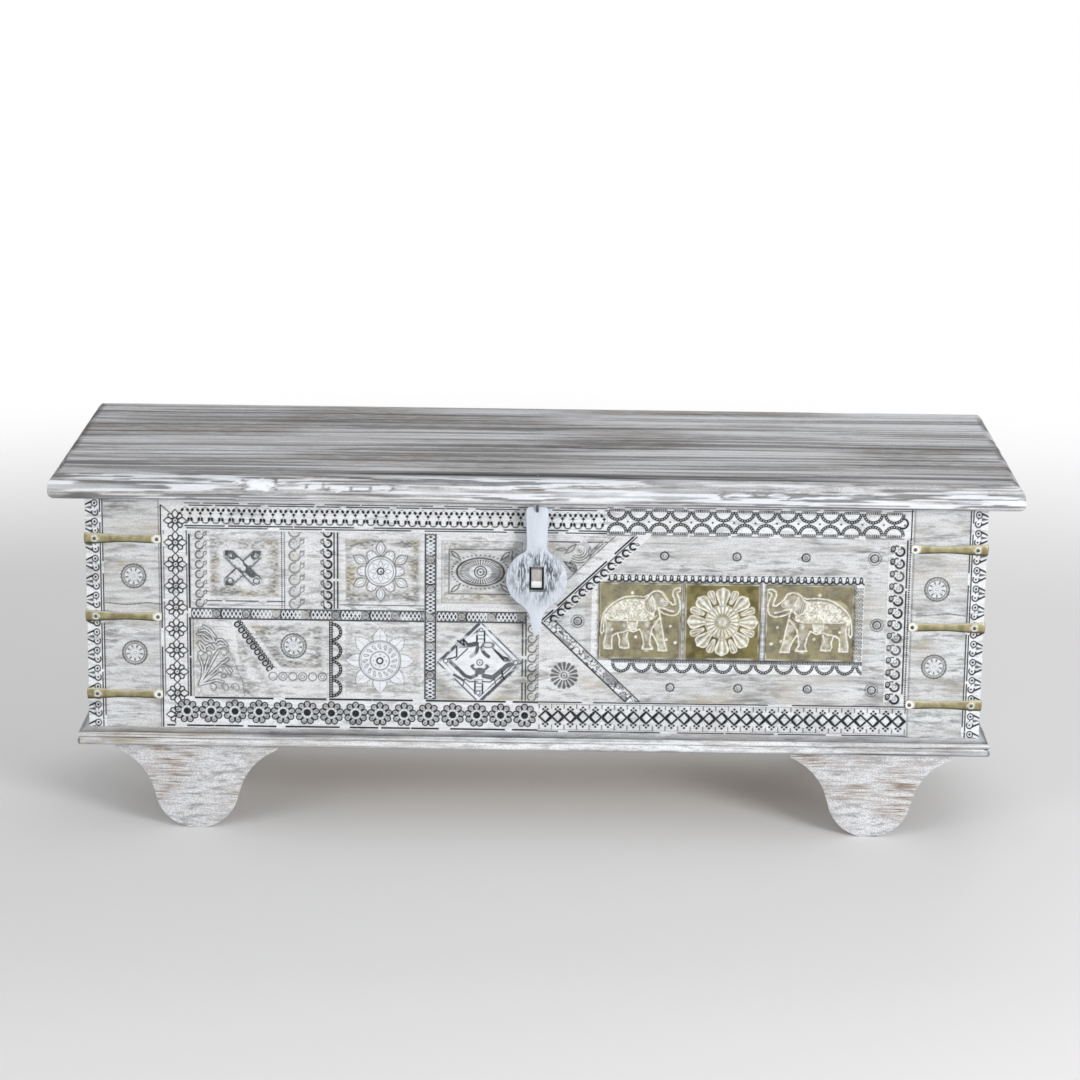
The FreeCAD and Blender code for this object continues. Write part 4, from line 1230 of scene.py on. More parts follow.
def flower_tile(cut):
    """Six lobes and six leaves round a disc of eight small leaves."""
    sunk_field(cut, in_box(cut.x, cut.z, cut.left + 6, cut.right - 5, cut.low + 9, cut.high - 7))
    u, v = cut.x - cut.left - 49.6, cut.z - cut.low - 48.0
    far = np.hypot(u, v)
    lobes = drop_petal(*fanned(u, v, 6, 60), 17, 23.0, 7.0, 5.4)
    leaves = almond(*fanned(u, v, 6, 90), 19.5, 37.5, 5.4)
    flower = np.minimum(np.minimum(lobes, leaves), far - 18.5)
    cut.stain(0.45 * line(flower, 5))
    lifted(cut, lobes, 0.55, 1.2, 0.6)
    for bent in (-4.0, 4.0):
        curl = fanned(u, v, 6, 60)
        cut.cut(open_ring(curl[0] - 23.0, curl[1] - bent, 2.4, 1.0, 180, 60), 0.5, 0.5)
    lifted(cut, leaves, 0.85, 1.3, 0.75)
    cut.line(almond(*fanned(u, v, 6, 90), 22.5, 34.5, 2.2), 0.9, 0.5, 0.6)
    lifted(cut, far - 18.5, 0.85, 1.5, 0.75)
    cut.line(far - 15.4, 1.2, dark=0.55)
    cut.line(almond(*fanned(u, v, 8, 0), 4.6, 13.2, 2.4), 0.9, 0.5, 0.6)
    cut.bright = 0.5 * inside(flower + 2)
    cut.line(far - 3.9, 1.7)
    cut.cut(groove(np.hypot(u - 0.6, v + 0.6), 3.4), 0.3, 0.75)
    cut.line(cut.z - cut.low - 5.6, 1.1, dark=0.7)


def petal_ring(cut, u, v, radius):
    """Small carved rosette: a scalloped rim of beads, a ring and a flower of pale petals."""
    far = np.hypot(u, v)
    angle = np.arctan2(v, u)
    cut.lift(inside(far - radius * 1.05), 0.5)
    scallop = far - radius * (0.95 + 0.045 * np.abs(np.sin(angle * 11)))
    cut.line(scallop, 1.8, dark=0.78)
    between_beads = line(fanned(u, v, 22)[1], 1.1) * inside(np.abs(far - radius * 0.88) - radius * 0.07)
    cut.cut(between_beads, 0.6, 0.6)
    cut.line(far - radius * 0.77, 1.2, dark=0.6)
    along, across = fanned(u, v, 9, 110)
    gap = np.maximum(np.abs(across) - 0.26 * (along - radius * 0.30), along - radius * 0.66)
    cut.cut(inside(gap) * (along > radius * 0.30), dark=0.8)
    petal = fanned(u, v, 9)
    cut.cut(line(petal[1], 0.8) * inside(np.abs(far - radius * 0.40) - radius * 0.16), 0.5, 0.35)
    cut.line(far - 1.9, 0.9, dark=0.4)
    cut.whiten(0.5 * inside(far - radius * 0.7))
    cut.stain(0.25 * inside(far - radius))


def leaf_spray(cut, root_x, root_z, leaves, dark=0.6):
    """Curved leaves that fan out from a root, each with a rib and side veins."""
    for angle, length, half, bend in leaves:
        along, across = turned(cut.x - root_x, cut.z - root_z, angle)
        share = held(along / length)
        across = across - bend * share ** 2
        leaf = almond(along, across, 0.10 * length, length, half)
        cut.lift(inside(leaf), 0.7)
        cut.line(leaf, 1.6, 0.8, dark)
        vein = (along - np.abs(across) * 1.6) / 5.0
        cut.cut(line(across, 0.9) * inside(leaf), 0.5, dark * 0.8)
        cut.cut(groove(np.abs(vein - np.rint(vein)) * 5.0, 0.9) * inside(leaf + 1.0), 0.4, dark * 0.6)


foliage = (
    ((8.5, 14), (12.3, 25.2), (12.8, 36.3), (11.2, 43), (8.4, 49)),
    ((8.5, 14), (14.4, 27.4), (17.7, 40.8), (20.9, 49.7)),
    ((8.5, 14), (17.7, 30.8), (25.3, 45.3), (31.8, 56.4)),
    ((24.2, 44.2), (27.4, 50.8), (32.8, 58.1), (39.3, 60.2), (42.6, 56.4)),
    ((8.5, 14), (22, 27.4), (32.8, 38.6), (43.7, 47.5)),
    ((36.1, 42.5), (40.4, 43.6), (43.7, 47.5)),
    ((8.5, 14), (22, 24.1), (30.7, 30.8)),
    ((32.8, 36.3), (37.2, 39), (43.7, 36.9), (48, 31.9)),
    ((40.4, 36.3), (43.7, 31.9), (45.8, 28.5)),
    ((9, 14), (22, 18), (29.6, 20.2), (37.2, 18)),
    ((6.9, 77.6), (13.4, 78.2), (19.9, 73.7), (25.3, 68.7)),
    ((12.3, 75.4), (16.6, 70.9), (23.1, 68.6)),
    ((9, 82.1), (16.6, 83.2), (24.2, 77), (27.4, 68.7)),
    ((14.4, 88), (22, 83.2), (28.5, 74.3)),
    ((8, 66.5), (12.3, 58.7), (15.5, 56.4)),
    ((9.5, 68), (14.4, 63.1), (16.6, 57.5)),
    ((29.1, 67.6), (31.2, 70.9), (36.1, 71.5), (40.4, 68.1), (42.8, 64.2)),
    ((31.2, 65.4), (33.9, 67.6), (38.3, 66)),
    ((16.6, 62), (22, 64.8), (26.3, 59.8)),
)
foliage_rim = ((42.8, 64.2), (45.3, 55.3), (52.3, 40.8), (55.5, 31.9), (61, 18.5), (63.1, 1.8))
scroll_ends = ((10.7, 53.1, 3.8, 80), (20.4, 53.6, 3.3, 40), (37.7, 55.3, 4.3, 20), (33.9, 33, 3.4, 10),
               (24.7, 11.3, 4.4, 0), (39.3, 10.7, 4.4, 10), (51.8, 11.3, 4.8, 30), (38.2, 25.2, 3.0, 60))


def foliage_spray(cut, x, z):
    """Stems and leaves, each a ridge between two soft cuts, with curled ends."""
    far = np.min([to_path(x, z, points) for points in foliage], axis=0)
    cut.lift(inside(far - 1.5), 0.6)
    cut.line(far - 1.5, 1.3, 0.7, 0.74)
    for end_x, end_z, radius, towards in scroll_ends:
        u, v = turned(x - end_x, z - end_z, towards)
        cut.lift(inside(np.hypot(u, v) - radius), 0.6)
        cut.cut(open_ring(u, v, radius, 1.4, 200, 40), 0.7, 0.62)
        cut.cut(open_ring(u + 0.6, v + 0.4, radius * 0.45, 1.3, 20, 60), 0.6, 0.62)
    cut.cut(groove(to_path(x, z, foliage_rim), 1.1), 0.6, 0.4)


def spray_tile(cut):
    """Spray of foliage, a slanted strip of loops, a rosette and a row of medallions."""
    left, low = cut.left, cut.low
    strip_start = (left + 54.4, cut.high - 1.0)
    strip_end = (left + 98.0, low + 32.6)
    angle = math.degrees(math.atan2(strip_end[1] - strip_start[1], strip_end[0] - strip_start[0]))
    along, across = turned(cut.x - strip_start[0], cut.z - strip_start[1], angle)
    corner = np.max([9 - across, low + 36 - cut.z, cut.x - cut.right + 5, cut.z - cut.high + 6], axis=0)
    sunk_field(cut, corner)
    under = np.max([across + 8, left + 66 - cut.x, low + 5 - cut.z, cut.z - low - 18], axis=0)
    sunk_field(cut, np.minimum(under, np.maximum(across + 9, left + 60 - cut.x + (low - cut.z) * 0.1)), 0.7)
    u, v = cut.x - left - 123.3, cut.z - low - 64.7
    petal_ring(cut, u, v, 15.5)
    reach = (along > -2) & (along < 74)
    unit = repeated(along, 4.5, 8.4, 9)[1]
    loops = np.max([open_ring(unit, across + 2.2, 2.9, 2.0, 90, 30),
                    groove(np.hypot(unit, across + 2.2), 1.3),
                    line(np.hypot(unit - 1.6, across - 3.0) - 1.5, 1.4),
                    line(np.hypot(unit + 2.4, across - 3.4) - 1.2, 1.2),
                    groove(to_line(unit, across, (-3.6, 1.0), (3.4, 0.6)), 1.5)], axis=0)
    cut.cut(loops * reach)
    number, medal = repeated(cut.x, left + 98.0, 12.0, 6)
    medal_far = np.hypot(medal, cut.z - low - 26.2)
    cut.lift(inside(medal_far - 5.4), 0.7)
    cut.line(medal_far - 5.0, 1.2, dark=0.7)
    cut.cut(line(medal_far - 2.4, 1.0) * (number % 2), dark=0.6)
    bulge = (cut.x - left) - 64 * np.sqrt(held(1 - held((cut.z - low - 4) / 94) ** 1.4))
    sunk_field(cut, np.maximum(bulge, left + 3 - cut.x), 0.4)
    olive = inside(np.hypot((cut.x - left - 16) / 13, (cut.z - low - 70) / 13) - 1, 0.8)
    cut.stain(0.25 * inside(bulge) + 0.45 * olive)
    foliage_spray(cut, cut.x - left, cut.z - low)
    cut.line(cut.x - left - 2, 1.0, dark=0.6)


def sun_tile(cut):
    """Sun of eight petals round a disc, beside a row of beaded arcs."""
    bar = cut.x - cut.left - 4.4
    cut.cut(line(bar, 4.6) * (1 - 0.8 * dots(cut.z, bar, 1.9, 3.0)))
    v = repeated(cut.z, cut.low + 12.5, 23.5, 4)[1]
    cut.cut(beaded_arc(v, cut.x - cut.left - 6.4, 9.8, 4.0, 9))
    sunk_field(cut, in_box(cut.x, cut.z, cut.left + 20, cut.right - 5, cut.low + 6, cut.high - 5), 0.4)
    u, v = cut.x - cut.left - 63.6, cut.z - cut.low - 47.6
    far = np.hypot(u, v)
    along, across = fanned(u, v, 8)
    petals = almond(along, across + 0.5 * np.sin(along * 1.6), 14.0, 41.5, 8.6)
    lifted(cut, petals, 0.75, 1.2, 0.5)
    cut.cut(line(across, 0.9) * inside(petals + 3), 0.4, 0.3)
    lifted(cut, far - 25.0, 0.85, 1.7, 0.62)
    cut.line(far - 22.8, 0.9, dark=0.35)
    cut.line(far - 11.5, 1.5, dark=0.6)
    dash_along, dash_across = fanned(u, v, 16)
    dash = drop_petal(*turned(dash_along - 17.2, dash_across, 24), -2.0, 2.0, 0.7, 1.4)
    cut.line(dash, 1.0, dark=0.6)
    cut.cut(groove(np.hypot(along - 7.6, across), 2.0), dark=0.5)
    cut.line(far - 3.6, 1.9)
    cut.bright = inside(np.minimum(petals, far - 25.0)) * 0.42


def oval_tile(cut):
    """Framed oval of rays round a boss, with beads round it and a leaf in each corner."""
    u, v = cut.x - cut.left - 52.6, cut.z - cut.low - 48.8
    outer = in_box(cut.x, cut.z, cut.left + 6, cut.right - 6, cut.low + 10, cut.high - 9)
    sunk_field(cut, outer, 0.7)
    frame_rim = in_box(u, v, -38, 38, -27.5, 27.5)
    cut.lift(inside(frame_rim), 0.5)
    cut.line(frame_rim, 1.3, dark=0.75)
    cut.line(outer, 1.0, dark=0.4)
    cut.stain(0.4 * inside(frame_rim))
    stretch = np.hypot(u / 28.5, v / 17.2)
    angle = np.arctan2(v / 17.2, u / 28.5)
    lifted(cut, (stretch - 1) * 20, 0.5, 1.8, 0.85)
    ray = angle * 44 / (2 * math.pi)
    rays = groove(np.abs(ray - np.rint(ray)) * stretch * 3.2, 1.1)
    rays = rays * held((stretch - 0.42) * 8) * held((0.92 - stretch) * 14)
    cut.cut(rays, 0.6, 0.8)
    ring = inside((np.abs(stretch - 0.90) - 0.12) * 20)
    cut.stain(np.maximum(ring, 0.7 * rays))
    cut.bright = 0.45 * inside((np.abs(stretch - 0.60) - 0.18) * 20) * (1 - rays)
    bead = angle * 40 / (2 * math.pi)
    beads = np.hypot((bead - np.rint(bead)) * 4.3, (stretch - 1.22) * 21)
    cut.cut(groove(beads, 2.0), dark=0.75)
    far = np.hypot(u, v)
    lifted(cut, far - 7.2, 0.3, 1.6, 0.9)
    cut.line(far - 4.2, 1.4, dark=0.9)
    cut.cut(groove(far, 2.6), dark=0.9)
    leaf = almond(*turned(np.abs(u) - 25, np.abs(v) - 16, 42), 0, 14, 2.3)
    cut.line(leaf, 1.4, dark=0.8)


# Strokes of the diamond tile: bent paths from its middle, with width, depth, darkness and wear; those of
# the second set are cut on both sides
diamond_strokes = (
    (((-37, 2), (-27, -8), (-18, -17), (-11, -19.5), (-4, -16)), 4.6, 1.2, 0.9, "scuffed"),
    (((42, -0.5), (34, -3), (25, -11), (16, -19), (5, -17)), 5.8, 1.2, 0.85, "worn"),
    (((-24, 21.0), (-15, 21.0), (-4, 23.5)), 5.8, 1.2, 0.9, "worn"),
    (((-14, 22), (-20, 29), (-19, 21), (-27, 27)), 2.2, 1.0, 1.0, "whole"),
    (((-15, 17), (-29, 3)), 1.4, cut_depth, 1.0, "whole"),
    (((16, 18), (24, 9), (30, 2), (37, 3)), 2.6, cut_depth, 1.0, "worn"),
    (((-44, 3), (-33, 5), (-28, 7), (-28, 20)), 1.8, cut_depth, 1.0, "whole"),
    (((27, -10), (27.5, -16), (30, -21)), 2.2, cut_depth, 1.0, "whole"),
    (((-31, -16), (-26, -19), (-20, -23)), 3.2, 1.0, 0.9, "worn"),
    (((22, 12), (27, 7), (34, 5)), 3.6, 1.0, 0.9, "broken"),
)
paired_strokes = (
    (((3, -10), (7.5, -8), (10, -5), (8, -3.6)), 3.0, 1.0, 0.85, "whole"),
    (((2.5, 19), (4.2, 13.5), (6.6, 10.5), (10.5, 7.5)), 4.4, 1.0, 0.9, "worn"),
    (((3, -24), (12, -24.5), (18, -21), (20, -29)), 1.5, cut_depth, 0.9, "whole"),
    (((36, -8), (29, -14), (25, -20)), 1.5, cut_depth, 0.9, "broken"),
)
diamond_vases = ((1.0, 25.0, 40.0), (-1.0, -40.0, -21.0))
diamond_rings = ((1.4, 41.0, 2.2), (-41.3, 1.4, 2.6), (43.6, 0.5, 2.8), (-1.8, -38.3, 2.5), (0, 0, 3.6))


def diamond_tile(cut):
    """Diamond with bold worn strokes, vases and rings, and a strip of bells at its right."""
    u, v = cut.x - cut.left - 52.5, cut.z - cut.low - 47.3
    spread = (np.abs(u) + np.abs(v)) / math.sqrt(2)
    edge = 52.5 / math.sqrt(2)
    broken = np.clip(cut.noise(11, 11, 44) * 3 - 0.4, 0.2, 1)
    worn = np.clip(cut.noise(6, 5, 45) * 2.6 - 0.1, 0.45, 1)
    corner_stain = held((spread - edge - 3) / 8) * np.where(v < -8, 1.3, 0.5)
    cut.stain(corner_stain * held(cut.noise(26, 12, 46) + 0.2))
    heavy = np.where(u * v < 0, 4.0, 1.9)
    cut.bright = 0.5 * inside(spread - edge)
    cut.cut(line(spread - edge + heavy / 2, heavy) * np.where(u * v < 0, worn, broken), dark=0.9)
    cut.cut(line(spread - edge + 6.6, 1.3) * broken, dark=0.8)
    wear = {"whole": 1.0, "worn": worn, "broken": broken, "scuffed": held(worn + 0.3)}
    for strokes, side in ((diamond_strokes, u), (paired_strokes, np.abs(u))):
        for points, width, deep, dark, worn_by in strokes:
            cut.cut(groove(to_path(side, v, points), width) * wear[worn_by], deep, dark)
    cut.cut(inside(np.hypot(u / 1.5, v + 11) - 4.4) * worn, 1.2, 0.85)
    cut.line(np.hypot((u - 10) / 2, v - 22) - 3.2, 1.5, dark=0.8)
    for middle, low, high in diamond_vases:
        side = np.abs(u - middle)
        vase = inside(np.abs(v - (low + high) / 2) - (high - low) / 2)
        cut.cut(line(side - 4.6, 2.0) * vase * worn)
        stripe = (v - low) / 4.6
        cut.cut(groove(np.abs(stripe - np.rint(stripe)) * 4.6, 1.2) * vase * inside(side - 3.4), 0.6, 0.8)
    for ring_u, ring_v, radius in diamond_rings:
        far = np.hypot(u - ring_u, v - ring_v)
        cut.lift(inside(far - radius - 0.8), 0.4)
        cut.line(far - radius, 1.4, 0.6, 0.85)
    cut.cut(groove(np.hypot(u, v), 2.0), dark=0.85)
    for place, width in ((104.0, 2.0), (108.0, 1.6)):
        cut.cut(dashes(cut.z, cut.x - cut.left - place, width, 26, 0.86), dark=0.9)
    ring_v = repeated(cut.z, cut.low + 4.5, 12.2, 8)[1]
    cut.cut(bell_motif(-(cut.x - cut.left - 115.5), ring_v, 4.8, 1.7), dark=0.75)


def level_divider(cut):
    """Strip of scrolls that runs to the right."""
    half = (cut.high - cut.low) / 2
    scroll_strip(cut, cut.x - cut.left, cut.z - cut.low - half, half, 20)


def upright_divider(cut):
    """Strip of scrolls that runs upwards."""
    half = (cut.right - cut.left) / 2
    scroll_strip(cut, cut.z - cut.low, cut.x - cut.left - half, half, 20)


tile_patterns = {
    "cross_tile": cross_tile,
    "bell_strip": bell_strip,
    "flower_tile": flower_tile,
    "left_divider": level_divider,
    "spray_tile": spray_tile,
    "sun_tile": sun_tile,
    "upright_divider": upright_divider,
    "oval_tile": oval_tile,
    "right_divider": level_divider,
    "diamond_tile": diamond_tile,
}
for node, pattern in tile_patterns.items():
    carve(node, pattern, carved_wash if "divider" in node else tile_wash)

# %% [markdown]
# The stiles beside the field are plain planks with two rosettes each, and the corner strips carry a
# stack of lotus leaves that point outwards. Both reach from the plinth to the lid.

# %% Carve the stiles and the corner strips
left_rosettes = (93.5, 189.5)
right_rosettes = (89.7, 186.5)
plank_line = 155.0
stile_step = 0.8


def stile(cut, middle, levels, inner_x):
    """Plain streaked plank with a crack, an edge line and rosettes at the given levels."""
    streak = cut.noise(55, 2.2, 52)
    cloud = cut.noise(40, 16, 53)
    cut.ground = cut.ground + 0.4 * held(cut.noise(70, 2.4, 51) - 0.55)
    cut.dark = 0.75 * held(streak - 0.55) * held(cloud * 2 - 0.5)
    cut.stain(held(cut.noise(60, 11, 54) - 0.42) * 1.5)
    for level in levels:
        petal_ring(cut, cut.x - middle, cut.z - cut.low - level, 15.0)
    crack = cut.z - cut.low - plank_line + 1.2 * np.sin(cut.x / 9.0)
    cut.cut(line(crack, 1.2) * held(cloud * 2), 0.6, 0.8)
    cut.line(cut.x - inner_x, 1.0, dark=0.5)


def lotus(u, v):
    """Pointed leaf with a dark heart, an eye above its foot and a crescent below."""
    leaf = np.abs(v) - 7.2 * held((20.6 - u) / 11.5) ** 0.62
    heart = np.maximum(np.abs(v) - 2.1 * held((18.6 - u) / 9.0), 9.2 - u)
    eye = np.hypot(u - 6.2, (v - 5.4) * 0.9)
    crescent = open_ring(u - 5.6, (v + 5.6) * 0.9, 3.7, 1.6, 80, 50)
    stroke = line(leaf, 1.8 + 0.09 * (20 - u)) * (u > 9.4)
    return np.max([stroke, inside(heart) * 0.85, line(eye - 3.5, 1.3), groove(eye, 2.8), crescent,
                   groove(np.hypot(u - 5.4, v + 5.6), 2.4), groove(np.hypot(u - 5.6, v), 1.6)], axis=0)


def lotus_strip(cut, inner, outward):
    """Stack of lotus leaves that point outwards, beside two broken lines."""
    number, v = repeated(cut.z, cut.low - 0.7, 22.85, 14)
    u = (cut.x - inner) * outward - 4.6
    cut.cut(lotus(u, v + by_hand(number, 0.3)) * (u > 0.2))
    for place, width in ((1.3, 1.6), (4.4, 1.5)):
        cut.cut(dashes(cut.z + place * 20, (cut.x - inner) * outward - place, width, 64, 0.95))


carve("left_stile", lambda cut: stile(cut, cut.left + 35.0, left_rosettes, cut.right - 1.0), plain_wash,
      stile_step)
carve("right_stile", lambda cut: stile(cut, cut.left + 31.0, right_rosettes, cut.left + 1.6), plain_wash,
      stile_step)
carve("left_corner_strip", lambda cut: lotus_strip(cut, cut.right, -1))
carve("right_corner_strip", lambda cut: lotus_strip(cut, cut.left, 1))

# %% [markdown]
# Two slanted strips meet beside the hasp and open out to the right like an arrow. The triangles beside
# them carry leaves and a daisy. Such a block starts as a carved plank of its full length and height and
# is then sawn along the slant with a bisect, as the joiner would saw it.

# %% Saw and carve the slanted blocks
chevron_angle = 44.0
chevron_width = 15.0
chevron_tip = (corners("upper_chevron_strip")[0][0], corners("upper_chevron_strip")[0][2])
inner_tip = (corners("field_panel")[0][0], chevron_tip[1])
slant = (math.cos(math.radians(chevron_angle)), math.sin(math.radians(chevron_angle)))
above_slant = (-slant[1], slant[0])
below_slant = (slant[1], -slant[0])
above_fall = (slant[1], slant[0])
below_fall = (-slant[1], -slant[0])


def plume(cut, eye, rings, spacing, dark):
    """Feather that curls round an eye: broken arcs below it and to its right."""
    u, v = cut.x - eye[0], cut.z - eye[1]
    far = np.hypot(u, v * 1.05)
    number, off = repeated(far, spacing, spacing, rings)
    turn = np.degrees(np.arctan2(v, u))
    reach = (turn < 40 - 9 * number) & (turn > -150 + 6 * number)
    broken = np.clip(soft_noise(u, v, 5, 5, 66) * 3, 0.5, 1)
    cut.cut(line(off, 1.35) * reach * broken, 0.7, dark)
    cut.line(far - 0.8, 1.2, 0.5, dark)


def spandrel(cut):
    """Curled plume and sprays of leaves in a sunk triangle, with painted shade behind the staple."""
    line_v = turned(cut.x - chevron_tip[0], cut.z - chevron_tip[1], chevron_angle)[1]
    panel = np.maximum(15.0 - line_v, np.maximum(cut.z - cut.high + 9.0, 12.0 - cut.x))
    sunk_field(cut, panel, 0.4)
    cut.stain(0.2 * inside(panel, 2))
    panel_share = inside(panel)
    plume(cut, (51.6, 356.5), 5, 3.2, 0.75)
    leaf_spray(cut, 33.6, 351.4, ((36, 19, 2.4, 1.5),), 0.7)
    leaf_spray(cut, 23.5, 357.5, ((0, 13, 1.6, 0),), 0.6)
    leaf_spray(cut, 64.6, 348.5, ((84, 12, 1.7, 1), (62, 15, 1.5, -1)), 0.7)
    leaf_spray(cut, 50.0, 330.0, ((118, 15, 2.0, 2), (136, 20, 2.2, 2), (160, 12, 1.7, -2)), 0.85)
    for offset in (17.6, 20.4):
        cut.cut(line(line_v - offset, 1.2) * (cut.x > 66), 0.6, 0.7)
    cut.depth = cut.depth * panel_share
    cut.dark = cut.dark * held(panel_share + 0.2)
    cut.cut(dashes(cut.x, cut.z - cut.high + 8.0, 1.8, 23, 0.85) * (line_v > 14), dark=0.85)
    cut.line(line_v - 14.5, 1.1, dark=0.6)
    # Painted shade: the ground seen through the hasp's slot round the staple is darkened to stand for the
    # shadow there.
    shade_behind_staple = in_box(cut.x, cut.z, -9.0, 12.0, 307.0, 343.0)
    cut.darken(0.95 * inside(shade_behind_staple, 2.0))


def daisy_tile(cut):
    """Daisy of sixteen dark petals in a triangle that is browned at its lower right."""
    u, v = cut.x - cut.left - 31.0, cut.z - cut.low - 32.5
    far = np.hypot(u, v)
    petal = drop_petal(*fanned(u, v, 16), 6.8, 15.0, 0.7, 2.15)
    cut.lift(inside(far - 20), 0.3)
    cut.cut(inside(petal), dark=0.8)
    cut.line(far - 3.6, 1.2, dark=0.7)
    cut.cut(groove(far, 3.0), dark=0.4)
    browned = held((cut.low + 42 - cut.z) / 20) * held((cut.x - cut.left - 28) / 14)
    cut.stain(0.9 * browned * held(cut.noise(30, 11, 65) + 0.2))


def upper_strip(cut):
    """Row of bells below two broken lines, along the upper slant."""
    along, across = turned(cut.x - chevron_tip[0], cut.z - chevron_tip[1], chevron_angle)
    for place, width, pitch in ((1.3, 2.1, 47), (4.2, 1.3, 90)):
        cut.cut(dashes(along, across + place, width, pitch, 0.95))
    u = repeated(along, 15.0, 11.9, 12)[1]
    cut.cut(bell_motif(-u, -(across + 9.8), 3.8, 2.7))


def lower_strip(cut):
    """Dark curly grain between two lines, along the lower slant."""
    along, across = turned(cut.x - chevron_tip[0], cut.z - chevron_tip[1], -chevron_angle)
    half = chevron_width / 2
    bed = inside(np.abs(across - half) - half * 0.72)
    curly = grain_lines(along, across, 2.7, 2.5, 0.17, 48)
    blots = 0.6 * held((soft_noise(along, across, 12, 9, 49) - 0.6) * 6)
    cut.cut(np.maximum(curly * 0.9, blots) * bed)
    for place, width in ((half * 0.16, 2.0), (half * 1.84, 1.6)):
        cut.line(across - place, width)


upper_strip_edges = ((chevron_tip, above_slant), (inner_tip, below_slant))
lower_strip_edges = ((chevron_tip, below_fall), (inner_tip, above_fall))
carve("spandrel_tile", spandrel, tile_wash, sawn=((chevron_tip, below_slant),))
carve("daisy_tile", daisy_tile, tile_wash, sawn=((chevron_tip, above_fall),))
carve("upper_chevron_strip", upper_strip, sawn=upper_strip_edges)
carve("lower_chevron_strip", lower_strip, sawn=lower_strip_edges)

# %% [markdown]
# The field behind the elephants is left plain, brushed with thin wash that lets the warm wood through
# near the bottom. Rings are cut round four of the studs. The window for the picture frame is taken out
# with a Boolean, so frame and field are two pieces as on the real front.

# %% Plane the field and cut its window
field_edges = ((inner_tip, above_slant), (inner_tip, below_fall))
stud_places = ((154.6, 351.5), (241.4, 351.5), (324.5, 351.5), (406.8, 351.5), (51.5, 268.8),
               (412.2, 268.8), (164.5, 187.1), (246.8, 187.1), (330.9, 187.1), (408.6, 187.1))
ringed_studs = ((406.8, 351.5), (51.5, 268.8), (412.2, 268.8), (408.6, 187.1))
frame_low, frame_high = corners("elephant_frame")
field_step = 1.1


def field(cut):
    """Brushed wash, thin and warm near the bottom, with rings cut round the studs."""
    streak = soft_noise(cut.x, cut.z + 5 * cut.noise(120, 60, 61), 60, 2.2, 62)
    cloud = cut.noise(75, 20, 63)
    grey = cut.noise(46, 15, 64)
    cut.ground = cut.ground + 0.35 * held(streak - 0.5)
    low_share = np.clip((240 - cut.z) / 50, 0.15, 1)
    cut.stain(held(cloud - 0.35) * 1.5 * low_share)
    cut.dark = 0.9 * held(streak - 0.50) * held(grey * 2 - 0.7)
    for x, z in stud_places:
        far = np.hypot(cut.x - x, cut.z - z)
        cut.line(far - 4.7, 1.8, 0.7, 1.0)
        if (x, z) in ringed_studs:
            cut.line(far - 7.8, 1.1, 0.7, 0.75)
    rim = in_box(cut.x, cut.z, frame_low[0] - 3, frame_high[0] + 3, frame_low[2] - 3, frame_high[2] + 3)
    cut.stain(0.35 * line(rim, 10))


field_panel = carve("field_panel", field, plain_wash, field_step, sawn=field_edges)
chop(field_panel, (frame_low[0], frame_low[1] - 10, frame_low[2]),
     (frame_high[0], frame_high[1] + 10, frame_high[2]))
print("field faces after the window", len(field_panel.data.polygons))

# %% [markdown]
# The picture frame is one carved block: a row of little bells along the top, beaded arcs hung from
# ribbed bars along the bottom, a strip of scrolls on the right and thin ribs that part three pockets.
# The brass plates lie in the pockets.

# %% Carve the picture frame
plate_names = ("left_elephant_plate", "flower_plate", "right_elephant_plate")
pocket_depth = 2.5
pocket_play = 0.4


def picture_frame(cut):
    """Bells above, beaded arcs below, rings at the right and three pockets for the plates."""
    pocket = np.full_like(cut.x, np.inf)
    for name in plate_names:
        low, high = corners(name)
        pocket = np.minimum(pocket, in_box(cut.x, cut.z, low[0], high[0], low[2], high[2]))
    cut.stain(0.8 * line(pocket, 5) * cut.noise(9, 9, 71) * 1.5)
    rib = inside(np.abs(pocket - 1.6) - 1.8) * (cut.high - cut.z > 14) * (cut.z - cut.low > 17)
    cut.stain(rib * (0.45 + 0.5 * cut.noise(6, 9, 72)))
    cut.cut(line(pocket - 1.7, 0.9) * held(cut.noise(11, 11, 73) * 1.5), 0.5, 0.7)
    top = cut.z - cut.high
    u = repeated(cut.x, cut.left + 24.0, 8.45, 37)[1]
    shoe = open_ring(u, top + 6.8, 3.0, 2.0, 90, 50)
    tick = groove(to_line(np.abs(u), top + 2.6, (4.2, 1.2), (2.6, -1.6)), 1.5)
    knot = np.maximum(groove(np.hypot(np.abs(u) - 4.2, top + 8.2), 2.2), dots(cut.x, top + 1.4, 1.3, 2.1))
    cut.cut(np.max([shoe, tick, knot], axis=0) * (cut.x > cut.left + 18))
    u = repeated(cut.x, cut.left + 37.0, 24.6, 13)[1]
    bottom = cut.z - cut.low
    cut.cut(ribbed_bar(u, bottom - 14.4, 12.4, 3.6, 1.9) * (cut.x > cut.left + 22))
    cut.cut(line(bottom - 16.8, 1.0) * (cut.x > cut.left + 22), dark=0.85)
    cut.cut(beaded_arc(u, 12.0 - bottom, 10.2, 3.7, 11))
    v = repeated(cut.z, cut.low + 22.0, 5.2, 20)[1]
    side = cut.x - cut.right + 6.2
    between = (bottom > 18) & (top < -14)
    for ring_side in (-2.7, 2.7):
        ring = np.hypot(side - ring_side, v + 0.35 * ring_side)
        cut.cut(np.maximum(line(ring - 2.0, 1.1), groove(ring, 1.2)) * between, 0.8, 0.7)
    cut.stain(0.5 * inside(np.abs(side) - 5) * between)
    left_edge = cut.x - cut.left - 5.5
    cut.cut(dots(cut.z, left_edge, 1.3, 14), dark=0.8)
    cut.ground = cut.ground * inside(-pocket) + pocket_depth * inside(pocket - pocket_play, 0.2)
    cut.depth = cut.depth * inside(-pocket - 0.6)


carve("elephant_frame", picture_frame, sawn=field_edges)

